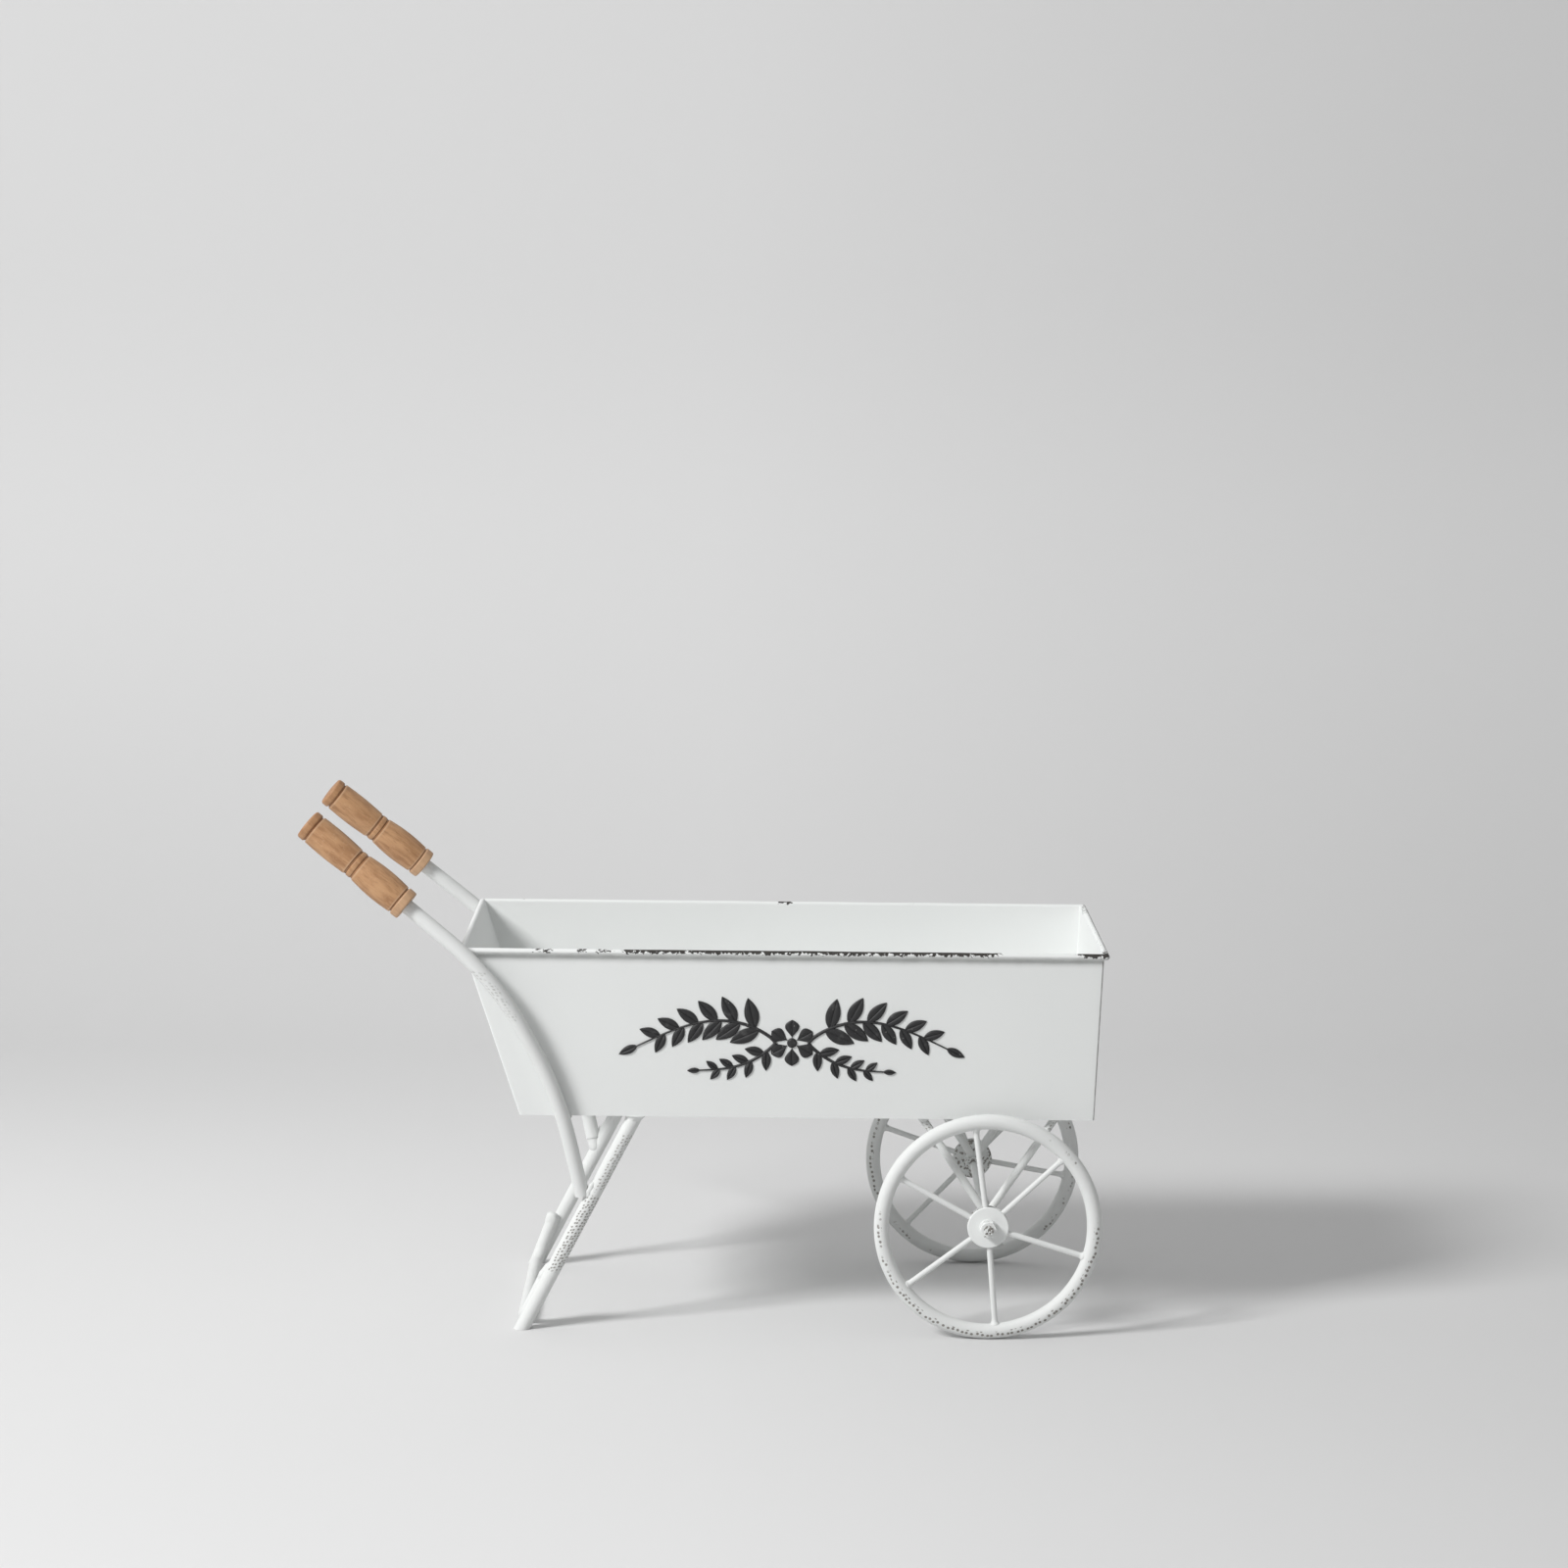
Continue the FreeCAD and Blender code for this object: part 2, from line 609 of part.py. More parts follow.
for side, sign in SIDES.items():
    boss_name = "axle_boss_" + side
    nodes[boss_name] = turned(
        boss_name,
        ring_outline(BORE_DIAMETER, "Size.boss_diameter", "Size.boss_length"),
        on_axle(sign, BOSS))
    boss_solid = make("Part::Cylinder", f"boss_space_{side}", {
        "Radius": "Size.boss_diameter / 2",
        "Height": "Size.boss_length",
        "Placement": on_axle(sign, BOSS),
    })
    # The two struts of a side lean together over the boss and meet in the plane of the axle
    strut_foot = (AXLE_X, f"{sign} * ({BOSS} + Size.boss_length / 2)", f"{AXLE_Z} + Size.strut_apex_rise")
    for end, direction in (("front", 1), ("rear", -1)):
        name = f"strut_{side}_{end}"
        strut_top = (
            f"({AXLE_X} + {direction} * Size.strut_spread)",
            f"{sign} * ({SIDE_BASE} - Size.strut_edge_inset)",
            BASE_Z,
        )
        blank = straight_rod(
            name + "_blank", strut_foot, strut_top, "Size.strut_diameter", "Size.strut_diameter")
        trimmed = common(name + "_trimmed", blank, strut_spaces[end])
        nodes[name] = cut(name, trimmed, boss_solid)
    for name, distance in (("inner", INNER_WASHER), ("outer", OUTER_WASHER)):
        washer = f"thrust_washer_{side}_{name}"
        nodes[washer] = turned(
            washer,
            ring_outline(BORE_DIAMETER, "Size.washer_diameter", "Size.washer_thickness"),
            on_axle(sign, distance))
    nut_name = "axle_nut_" + side
    hexagon = make("Part::Prism", nut_name + "_hexagon", {
        "Circumradius": "Size.nut_width / (2 * cos(30))",
        "Height": "Size.nut_thickness",
        "Placement": on_axle(sign, NUT),
    })
    nut_blank = turned(nut_name + "_blank", nut_blank_outline(), on_axle(sign, NUT))
    nodes[nut_name] = common(nut_name, hexagon, nut_blank)


# Wheels

def hub_disc_outline():
    """A flat disc on the sleeve, with its outer edge broken on the side away from the spokes."""
    radius = "(Size.hub_disc_diameter / 2)"
    return [
        ("Size.sleeve_diameter / 2", "0", "0"),
        (radius, "0", "0"),
        (radius, "Size.hub_disc_thickness - Size.hub_disc_edge", "0"),
        (f"{radius} - Size.hub_disc_edge", "Size.hub_disc_thickness", "0"),
        ("Size.sleeve_diameter / 2", "Size.hub_disc_thickness", "0"),
    ]


TUBE_CENTRE = "((Size.wheel_diameter - Size.wheel_tube_diameter) / 2)"
# The spokes start in the middle of the sleeve's wall and are trimmed by the sleeve and the rim
SPOKE_START = f"((Size.sleeve_diameter + {BORE_DIAMETER}) / 4)"

for side, sign in SIDES.items():
    rim = make("Part::Torus", "wheel_rim_" + side, {
        "Radius1": TUBE_CENTRE,
        "Radius2": "Size.wheel_tube_diameter / 2",
        "Placement": on_axle(sign, HALF_TRACK),
    })
    nodes["wheel_rim_" + side] = rim
    sleeve_length = "(Size.sleeve_inner_reach + Size.sleeve_outer_reach)"
    sleeve_name = "hub_sleeve_" + side
    nodes[sleeve_name] = turned(
        sleeve_name,
        ring_outline(BORE_DIAMETER, "Size.sleeve_diameter", sleeve_length),
        on_axle(sign, SLEEVE))
    for name, outward in (("outer", 1), ("inner", -1)):
        disc = f"hub_disc_{name}_{side}"
        seat = f"({HALF_TRACK} + {outward} * Size.spoke_diameter / 2)"
        place = placement((AXLE_X, f"{sign} * {seat}", AXLE_Z), ("x", str(-90 * sign * outward)))
        nodes[disc] = turned(disc, hub_disc_outline(), place)
    for number, turn_share in enumerate(SPOKE_TURN_SHARES[side], start=1):
        name = f"spoke_{side}_{number}"
        angle = 360 * turn_share
        ends = [
            (f"({AXLE_X} + {radius} * cos({angle}))", f"{sign} * {HALF_TRACK}",
             f"({AXLE_Z} + {radius} * sin({angle}))")
            for radius in (SPOKE_START, TUBE_CENTRE)
        ]
        blank = straight_rod(name + "_blank", *ends, "Size.spoke_diameter")
        within_rim = cut(name + "_within_rim", blank, rim)
        nodes[name] = cut(name, within_rim, nodes[sleeve_name])

doc.recompute()
for thing in doc.Objects:
    if "Invalid" in thing.State or "Error" in thing.State:
        raise RuntimeError(f"{thing.Label} failed: {thing.State}")
for name, thing in nodes.items():
    if thing.Shape.isNull() or not thing.Shape.isValid() or not thing.Shape.Solids:
        raise RuntimeError(f"{name} has no valid solid")

os.makedirs("parts", exist_ok=True)
for name, thing in nodes.items():
    thing.Shape.exportStep(f"parts/{name}.step")
print(f"wrote {len(nodes)} nodes")
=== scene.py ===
"""Looks of the wheelbarrow planter: folded tray, grips, welds, threads, sprig, finishes and studio.

Everything is in metres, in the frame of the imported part: +X runs from the handles to the wheels, +Y to
the left of a person who pushes it, and +Z up. The camera looks at the right side, from -Y.
"""
import json
import math

import bmesh
import bpy
from mathutils import Matrix, Vector, noise


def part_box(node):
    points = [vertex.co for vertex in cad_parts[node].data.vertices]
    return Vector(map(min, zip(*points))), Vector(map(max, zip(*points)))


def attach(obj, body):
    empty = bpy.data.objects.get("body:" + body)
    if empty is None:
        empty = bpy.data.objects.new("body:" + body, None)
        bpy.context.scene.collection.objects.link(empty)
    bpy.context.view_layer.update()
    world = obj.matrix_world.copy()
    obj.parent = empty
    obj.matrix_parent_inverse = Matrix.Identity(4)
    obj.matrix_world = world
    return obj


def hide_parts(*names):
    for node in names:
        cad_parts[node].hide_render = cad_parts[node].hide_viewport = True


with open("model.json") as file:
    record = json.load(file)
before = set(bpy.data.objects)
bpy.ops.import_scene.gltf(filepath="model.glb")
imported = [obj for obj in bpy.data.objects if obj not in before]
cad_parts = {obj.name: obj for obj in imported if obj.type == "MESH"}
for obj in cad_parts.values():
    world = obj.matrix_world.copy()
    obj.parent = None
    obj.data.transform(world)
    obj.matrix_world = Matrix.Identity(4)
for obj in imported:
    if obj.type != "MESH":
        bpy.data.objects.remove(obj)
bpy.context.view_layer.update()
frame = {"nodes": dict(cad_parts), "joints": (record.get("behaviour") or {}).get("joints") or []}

# Sizes that the frame's boxes don't give
SHEET = 0.001
ROLL_RADIUS = 0.0022
RIM_CORNER_RADIUS = 0.003
WALL_CORNER_RADIUS = 0.0014
INNER_CORNER_RADIUS = 0.0006
WHEEL_TUBE_RADIUS = 0.0052
SPOKE_RADIUS = 0.002
LEG_RADIUS = 0.0051
BAR_RADIUS = 0.0045
STRUT_RADIUS = 0.00275
AXLE_RADIUS = 0.003
GRIP_BORE_RADIUS = 0.0052
TOUCH = 0.00002

# Turned grips: five sections from the rod to the tip, with narrow grooves between them
GRIP_GROOVE = 0.001
GRIP_GROOVE_RADIUS = 0.0096
GRIP_COLLAR = 0.0062
GRIP_CAP = 0.0058
GRIP_DOME = 0.0006
GRIP_BORE_DEPTH = 0.03
# Each section's length, radius at its two ends, swell in the middle and rounding of its edges
GRIP_SECTIONS = [
    (GRIP_COLLAR, 0.0107, 0.0109, 0.0001, 0.0009),
    (0.0337, 0.0106, 0.0102, 0.0011, 0.0004),
    (0.0046, 0.0099, 0.0099, 0.0002, 0.0012),
    (0.0337, 0.0102, 0.0107, 0.0006, 0.0004),
    (GRIP_CAP, 0.0108, 0.0106, 0.0001, 0.0014),
]
GRIP_LENGTH = sum(section[0] for section in GRIP_SECTIONS) + GRIP_GROOVE * (len(GRIP_SECTIONS) - 1)

# Colours, as linear red, green and blue
ENAMEL_LIGHT = (0.83, 0.845, 0.835, 1)
ENAMEL_SHADE = (0.785, 0.8, 0.792, 1)
# The tubes' enamel is a darker copy of the tray's: partly their own greyer tone, partly painted shade
# that holds down the lamp's strong light on their lit sides
TUBE_LIGHT = (0.76, 0.772, 0.762, 1)
TUBE_SHADE = (0.72, 0.732, 0.723, 1)
BARE_METAL = (0.022, 0.021, 0.02, 1)
RUSTED_METAL = (0.08, 0.074, 0.068, 1)
WORN_GREY = (0.17, 0.16, 0.145, 1)
WORN_PALE = (0.36, 0.345, 0.32, 1)
# Painted shade on a wall below its rolled edge
ROLL_SHADE_TONE = (0.4, 0.405, 0.395, 1)
SCUFFED_ENAMEL = (0.4, 0.395, 0.375, 1)
WOOD_PALE = (0.585, 0.395, 0.25, 1)
WOOD_LIGHT = (0.53, 0.3, 0.15, 1)
WOOD_MIDDLE = (0.455, 0.245, 0.117, 1)
WOOD_DARK = (0.32, 0.155, 0.068, 1)
WOOD_PORE = (0.23, 0.105, 0.045, 1)
PAINT_BLACK = (0.014, 0.014, 0.015, 1)
PAINT_WORN = (0.07, 0.07, 0.07, 1)
WIRE_GREY = (0.42, 0.42, 0.41, 1)
WIRE_DARK = (0.2, 0.19, 0.18, 1)
WHITE = (1, 1, 1, 1)
ENAMEL_TONES = (ENAMEL_SHADE, ENAMEL_LIGHT)
TUBE_TONES = (TUBE_SHADE, TUBE_LIGHT)


# Meshes

def new_object(name, data):
    """A new object in the scene."""
    made = bpy.data.objects.new(name, data)
    bpy.context.scene.collection.objects.link(made)
    return made


class Skin:
    """Closed shells gathered into one mesh."""

    def __init__(self):
        self.points = []
        self.faces = []

    def add(self, loops):
        """A shell through loops of equally many points, closed at both ends."""
        count = len(loops[0])
        start = len(self.points)
        for loop in loops:
            self.points.extend(loop)
        for row in range(len(loops) - 1):
            here = start + row * count
            there = here + count
            for i in range(count):
                j = (i + 1) % count
                self.faces.append((here + i, here + j, there + j, there + i))
        last = start + (len(loops) - 1) * count
        self.faces.append(tuple(reversed(range(start, start + count))))
        self.faces.append(tuple(range(last, last + count)))

    def piece(self, name, material, body, slot, place=None, sharp_degrees=38):
        """The finished object, riding on a body."""
        mesh = bpy.data.meshes.new(name)
        mesh.from_pydata([tuple(point) for point in self.points], [], self.faces)
        shaped = bmesh.new()
        shaped.from_mesh(mesh)
        bmesh.ops.recalc_face_normals(shaped, faces=shaped.faces)
        shaped.to_mesh(mesh)
        shaped.free()
        mesh.shade_smooth()
        mesh.set_sharp_from_angle(angle=math.radians(sharp_degrees))
        mesh.materials.append(material)
        piece = new_object(name, mesh)
        if place:
            piece.matrix_world = place
        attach(piece, body)
        return piece


def steps(count, low=0.0, high=1.0):
    """Evenly spaced numbers from low to high, both included."""
    return [low + (high - low) * i / (count - 1) for i in range(count)]


def mixed(a, b, share):
    return a + (b - a) * share


def rough(place, scale):
    """A smooth random number from -1 to 1 at a place, with lumps about 1 / scale across."""
    return noise.noise(Vector(place) * scale)


def across(direction):
    """Two directions square to one another and to the given one."""
    helper = Vector((0, 0, 1)) if abs(direction.z) < 0.9 else Vector((1, 0, 0))
    first = direction.cross(helper).normalized()
    return first, direction.cross(first).normalized()


def ring(centre, direction, radius, count=24):
    """A circle of points about a direction."""
    first, second = across(direction)
    return [
        centre + radius * (math.cos(turn) * first + math.sin(turn) * second)
        for turn in steps(count + 1, 0, 2 * math.pi)[:-1]
    ]


def node_points(node):
    return [vertex.co.copy() for vertex in frame["nodes"][node].data.vertices]


def middle(points):
    return sum(points, Vector()) / len(points)


def near_height(points, height, within=TOUCH):
    """The points that are about as high as a given height."""
    return [point for point in points if abs(point.z - height) < within]


def rectangle_round(points):
    """The rectangle round some places, as X from, X to, Y from and Y to."""
    xs = [point.x for point in points]
    ys = [point.y for point in points]
    return (min(xs), max(xs), min(ys), max(ys))


# Places measured on the frame

# The tray's walls, and the way that each faces
OUTWARD = {
    "side_wall_right": Vector((0, -1, 0)), "end_wall_front": Vector((1, 0, 0)),
    "side_wall_left": Vector((0, 1, 0)), "end_wall_rear": Vector((-1, 0, 0)),
}
wall_boxes = [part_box(node) for node in OUTWARD]
BASE_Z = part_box("tray_floor")[0].z
ROLL_Z = max(box[1].z for box in wall_boxes) - ROLL_RADIUS
RIM = rectangle_round([corner for box in wall_boxes for corner in box])
side_wall_points = node_points("side_wall_right") + node_points("side_wall_left")
WALL_BASE = rectangle_round(near_height(side_wall_points, BASE_Z))
WHEELS = {joint["child"]: Vector(joint["pos_m"]) for joint in frame["joints"]}
AXLE = WHEELS["right_wheel"]
HALF_TRACK = abs(AXLE.y)
TUBE_CENTRE = AXLE.z - WHEEL_TUBE_RADIUS
SIDES = {"right": -1, "left": 1}


def inset(rectangle, by):
    return (rectangle[0] + by, rectangle[1] - by, rectangle[2] + by, rectangle[3] - by)


WALL_TOP = inset(RIM, 2 * ROLL_RADIUS - SHEET)
RIM_MIDDLE = {"X": (RIM[0] + RIM[1]) / 2, "Y": (RIM[2] + RIM[3]) / 2}
HALF_LENGTH = (RIM[1] - RIM[0]) / 2
HALF_WIDTH = (RIM[3] - RIM[2]) / 2


# Node graphs

class Graph:
    """The node graph of a new material or world, with short ways to add to it."""

    def __init__(self, owner, shader="Principled BSDF", coords="Object"):
        owner.use_nodes = True
        self.owner = owner
        self.tree = owner.node_tree
        self.shader = self.tree.nodes[shader]
        self.coords = self.add("TexCoord").outputs[coords]

    def add(self, kind, inputs=None, **settings):
        node = self.tree.nodes.new("ShaderNode" + kind)
        for name, value in settings.items():
            setattr(node, name, value)
        for name, value in (inputs or {}).items():
            self.feed(node.inputs[name], value)
        return node

    def feed(self, socket, value):
        if isinstance(value, bpy.types.NodeSocket):
            self.tree.links.new(value, socket)
        else:
            socket.default_value = value

    def set(self, **values):
        """Values for the shader's own sockets, with _ for a space in their names."""
        for name, value in values.items():
            self.feed(self.shader.inputs[name.replace("_", " ")], value)

    def maths(self, operation, *values):
        node = self.add("Math", operation=operation)
        for socket, value in zip(node.inputs, values):
            self.feed(socket, value)
        return node.outputs[0]

    def minus(self, a, b):
        return self.maths("SUBTRACT", a, b)

    def product(self, first, *others):
        for value in others:
            first = self.maths("MULTIPLY", first, value)
        return first

    def distance(self, *offsets):
        """How far a place is from an axis, from its two offsets square to it."""
        squares = [self.maths("MULTIPLY", offset, offset) for offset in offsets]
        return self.maths("SQRT", self.maths("ADD", *squares))

    def facing(self, direction):
        """How squarely the surface faces a direction, from -1 to 1."""
        normal = self.add("NewGeometry").outputs["Normal"]
        node = self.add("VectorMath", {0: normal, 1: direction}, operation="DOT_PRODUCT")
        return node.outputs["Value"]

    def scaled(self, vector, scale):
        """A vector's three parts, each times a number of its own."""
        return self.add("VectorMath", {0: vector, 1: scale}, operation="MULTIPLY").outputs[0]

    def split(self, vector):
        return self.add("SeparateXYZ", {0: vector}).outputs

    def stretch(self, value, low, high, to_low=0.0, to_high=1.0, kind="SMOOTHSTEP"):
        """A value's way from low to high, as a way from to_low to to_high, held at the ends."""
        node = self.add("MapRange", {
            "Value": value, "From Min": low, "From Max": high, "To Min": to_low, "To Max": to_high,
        }, interpolation_type=kind)
        return node.outputs["Result"]

    def ramp(self, value, stops):
        """A number that follows stops, each a place from 0 to 1 and the number there."""
        node = self.add("ValToRGB", {"Fac": value})
        elements = node.color_ramp.elements
        while len(elements) < len(stops):
            elements.new(1)
        for element, (place, level) in zip(elements, stops):
            element.position = place
            element.color = (level, level, level, 1)
        return node.outputs["Color"]

    def noise(self, scale, detail=2.0, vector=None, distortion=0.0):
        """Random numbers from 0 to 1, with about scale lumps to each unit of the vector."""
        node = self.add("TexNoise", {
            "Vector": vector or self.coords, "Scale": scale, "Detail": detail, "Distortion": distortion,
        })
        return node.outputs["Fac"]

    def mix(self, share, a, b):
        node = self.add("Mix", {"Factor": share}, data_type="RGBA")
        self.feed(node.inputs[6], a)
        self.feed(node.inputs[7], b)
        return node.outputs[2]

    def bump(self, height, distance, strength=1.0, normal=None):
        node = self.add("Bump", {"Height": height, "Distance": distance, "Strength": strength})
        if normal:
            self.feed(node.inputs["Normal"], normal)
        return node.outputs["Normal"]


# Wear of the enamel, and painted shade on it: each of these gives a function that makes the mask of what
# is worn or painted dark, 0 to 1

WHEEL_DOT_PITCH = 0.0034
ROD_DOT_PITCH = 0.0022
DOT_UNEVENNESS = 0.5
# How far round the tube the rows of dots are shifted, so that one runs just outside its middle line
ROW_SHIFT = 0.002
# How far the lower edge of a roll's chips wanders and fades, as shares of the roll's radius
HEM_WANDER_SHARE = 0.7
HEM_FADE_SHARE = 0.4
# How dense the densest chips on a roll are
HEM_COVER_SHARE = 0.8
# From where to where the painted shade below a roll thickens, and over what height it ends at the roll's
# middle
ROLL_SHADE_FROM = 0.009
ROLL_SHADE_TO = 0.003
ROLL_SHADE_END = 0.0006
# How far from a wall's corner the dark line of worn paint and painted shade fades, from full to nothing
CORNER_FULL = 0.0005
CORNER_NONE = 0.0014


def hem_wear(axis, stops, reach_share):
    """Chips on a rolled edge.

    The stops are places along the axis, "X" or "Y", from the rim's middle, and how dense the chips are
    there. reach_share is how far up the roll, from its middle, the chips start, as a share of its radius.
    """
    def mask(graph):
        place = graph.split(graph.coords)
        low = stops[0][0]
        length = stops[-1][0] - low
        first = RIM_MIDDLE[axis] + low
        along = graph.stretch(place[axis], first, first + length, kind="LINEAR")
        density = graph.ramp(along, [((at - low) / length, level) for at, level in stops])
        start = ROLL_Z + reach_share * ROLL_RADIUS
        wander = HEM_WANDER_SHARE * ROLL_RADIUS
        ragged = graph.stretch(graph.noise(520, detail=3), 0.25, 0.75, -wander, wander)
        height = graph.maths("ADD", place["Z"], ragged)
        crest = graph.stretch(height, start, start + HEM_FADE_SHARE * ROLL_RADIUS)
        lengthwise = (0.5, 1, 1) if axis == "X" else (1, 0.5, 1)
        grain = graph.noise(820, detail=4, vector=graph.scaled(graph.coords, lengthwise))
        cover = graph.product(density, crest, HEM_COVER_SHARE)
        return graph.stretch(graph.minus(cover, grain), -0.04, 0.08)
    return mask


def hem_painted_shade(outward):
    """Painted shade below a rolled edge, on the wall's outer side, where the roll shades the wall."""
    def mask(graph):
        height = graph.split(graph.coords)["Z"]
        below = graph.stretch(height, ROLL_Z - ROLL_SHADE_FROM, ROLL_Z - ROLL_SHADE_TO)
        above = graph.stretch(height, ROLL_Z + ROLL_SHADE_END, ROLL_Z - ROLL_SHADE_END)
        outside = graph.stretch(graph.facing(outward), 0, 0.3)
        streaks = graph.stretch(graph.noise(90, detail=4), 0.2, 0.8, 0.25, 0.55)
        return graph.product(below, above, outside, streaks)
    return mask


def hem_shade_line(outward):
    """A dark line painted on the outermost face of a rolled edge: painted shade where the roll turns from
    the lamp.
    """
    def mask(graph):
        height = graph.split(graph.coords)["Z"]
        on_roll = graph.stretch(height, ROLL_Z - 0.5 * ROLL_RADIUS, ROLL_Z)
        outermost = graph.stretch(graph.facing(outward), 0.3, 0.7)
        # Painted shade, broken up by noise
        marked = graph.stretch(graph.noise(110, detail=4), 0.25, 0.6, 0.4, 0.95)
        return graph.product(on_roll, outermost, marked)
    return mask


def corner_wear_and_shade(graph):
    """A dark line on the side walls' front corners: worn paint, and painted shade of the rounded corner
    turned from the lamp.
    """
    place = graph.split(graph.coords)
    corner = graph.stretch(place["Z"], BASE_Z, ROLL_Z, WALL_BASE[1], WALL_TOP[1], kind="LINEAR")
    from_corner = graph.minus(corner, place["X"])
    line = graph.stretch(from_corner, CORNER_NONE, CORNER_FULL)
    below_roll = graph.stretch(place["Z"], ROLL_Z - ROLL_RADIUS, ROLL_Z - 2 * ROLL_RADIUS)
    marked = graph.stretch(graph.noise(120, detail=4), 0.3, 0.6, 0.35, 0.8)
    return graph.product(line, below_roll, marked)


def dots(graph, along, around, pitch):
    """Small round spots in loose rows on a tube, from the ways along it and around it in metres."""
    rows = graph.add("CombineXYZ", {"X": along, "Y": around}).outputs[0]
    cells = graph.add("TexVoronoi", {
        "Vector": rows, "Scale": 1 / pitch, "Randomness": DOT_UNEVENNESS,
    }, voronoi_dimensions="2D")
    return graph.stretch(cells.outputs["Distance"], 0.36, 0.2)


def patches(graph, density, scale):
    """Ragged patches where a density is higher than random numbers."""
    return graph.stretch(graph.minus(density, graph.noise(scale, detail=3)), -0.08, 0.12)


def tube_wear(stops):
    """Rows of worn dots on both faces of a wheel's tube, just outside its middle line.

    The stops are shares of a turn about the axle, from +X towards +Z, and how dense the dots are there.
    """
    def mask(graph):
        place = graph.split(graph.coords)
        x = graph.minus(place["X"], AXLE.x)
        z = graph.minus(place["Z"], AXLE.z)
        outwards = graph.minus(graph.distance(x, z), TUBE_CENTRE)
        from_plane = graph.minus(graph.maths("ABSOLUTE", place["Y"]), HALF_TRACK)
        sideways = graph.maths("ABSOLUTE", from_plane)
        turn = graph.maths("ARCTAN2", z, x)
        share = graph.maths("FRACT", graph.maths("DIVIDE", turn, 2 * math.pi))
        round_tube = graph.product(graph.maths("ARCTAN2", sideways, outwards), WHEEL_TUBE_RADIUS)
        around = graph.minus(round_tube, ROW_SHIFT)
        along = graph.product(turn, TUBE_CENTRE)
        inner_side = graph.stretch(outwards, -0.25 * WHEEL_TUBE_RADIUS, 0.0)
        outer_side = graph.stretch(outwards, 0.85 * WHEEL_TUBE_RADIUS, 0.45 * WHEEL_TUBE_RADIUS)
        density = graph.product(graph.ramp(share, stops), inner_side, outer_side)
        return graph.product(patches(graph, density, 160), dots(graph, along, around, WHEEL_DOT_PITCH))
    return mask


def rod_wear(low, high, direction, density, rod_radius):
    """Worn dots between two heights on the side of a rod that faces a direction."""
    def mask(graph):
        place = graph.split(graph.coords)
        fade = 0.25 * (high - low)
        up = graph.stretch(place["Z"], low, low + fade)
        down = graph.stretch(place["Z"], high, high - fade)
        turned = graph.stretch(graph.facing(Vector(direction).normalized()), 0.1, 0.6)
        cover = graph.product(up, down, turned, density)
        normal = graph.split(graph.add("NewGeometry").outputs["Normal"])
        around = graph.product(graph.maths("ARCTAN2", normal["Y"], normal["X"]), rod_radius)
        return graph.product(patches(graph, cover, 140), dots(graph, place["Z"], around, ROD_DOT_PITCH))
    return mask


def all_over_wear(density, beyond=0.0):
    """Chips all over a small piece of hardware, beyond a distance from the middle plane."""
    def mask(graph):
        bare = 1 - density
        chips = graph.stretch(graph.noise(520, detail=4), bare - 0.03, bare + 0.03)
        aside = graph.maths("ABSOLUTE", graph.split(graph.coords)["Y"])
        return graph.product(chips, graph.stretch(aside, beyond, beyond + 0.001))
    return mask


# Materials

# Ranges of roughness
ENAMEL_ROUGHNESS = (0.5, 0.6)
CHIPPED_ROUGHNESS = (0.55, 0.8)
WOOD_ROUGHNESS = (0.62, 0.48)
PAINT_ROUGHNESS = (0.5, 0.72)
WIRE_ROUGHNESS = (0.3, 0.55)
# Lumps per metre in wood, twice across its grain and once along it
WOOD_STREAKS = (360, 360, 60)
WOOD_PORES = (1100, 1100, 130)
# How far from a barrel's end its pale edge, partly worn wood and partly painted highlight, is palest, how
# far that reaches, and how pale it gets
WORN_SHEEN_AT = 0.0006
WORN_SHEEN_REACH = 0.001
WORN_SHEEN_SHARE = 0.6


def enamel(name, wear=None, bare=BARE_METAL, rusted=RUSTED_METAL, darkening=(), tones=ENAMEL_TONES):
    """Off-white enamel with a faint orange peel, darkened by painted shade and scuffs and worn through to
    metal where the masks say.
    """
    graph = Graph(bpy.data.materials.new(name))
    colour = graph.mix(graph.noise(9, detail=3), *tones)
    for mask, tone in darkening:
        colour = graph.mix(mask(graph), colour, tone)
    roughness = graph.stretch(graph.noise(35, detail=3), 0.3, 0.7, *ENAMEL_ROUGHNESS)
    normal = graph.bump(graph.noise(420, detail=2), 0.0002, 0.25)
    if wear:
        mask = wear(graph)
        metal = graph.mix(graph.noise(300, detail=3), bare, rusted)
        colour = graph.mix(mask, colour, metal)
        roughness = graph.stretch(mask, 0, 1, *CHIPPED_ROUGHNESS, kind="LINEAR")
        normal = graph.bump(graph.minus(1, mask), 0.0003, 0.6, normal)
    graph.set(Base_Color=colour, Roughness=roughness, Specular_IOR_Level=0.25, Normal=normal)
    return graph.owner


def barrel_edges():
    """Stops for where the two barrels' edges are painted pale, partly worn wood and partly painted
    highlight, as shares of a grip's length.
    """
    stops = [(0.0, 0.0)]
    height = 0.0
    for length, *_ in GRIP_SECTIONS:
        if length > GRIP_COLLAR:
            for edge in (height + WORN_SHEEN_AT, height + length - WORN_SHEEN_AT):
                for offset, level in ((-WORN_SHEEN_REACH, 0.0), (0.0, WORN_SHEEN_SHARE), (WORN_SHEEN_REACH, 0.0)):
                    stops.append(((edge + offset) / GRIP_LENGTH, level))
        height += length + GRIP_GROOVE
    return stops


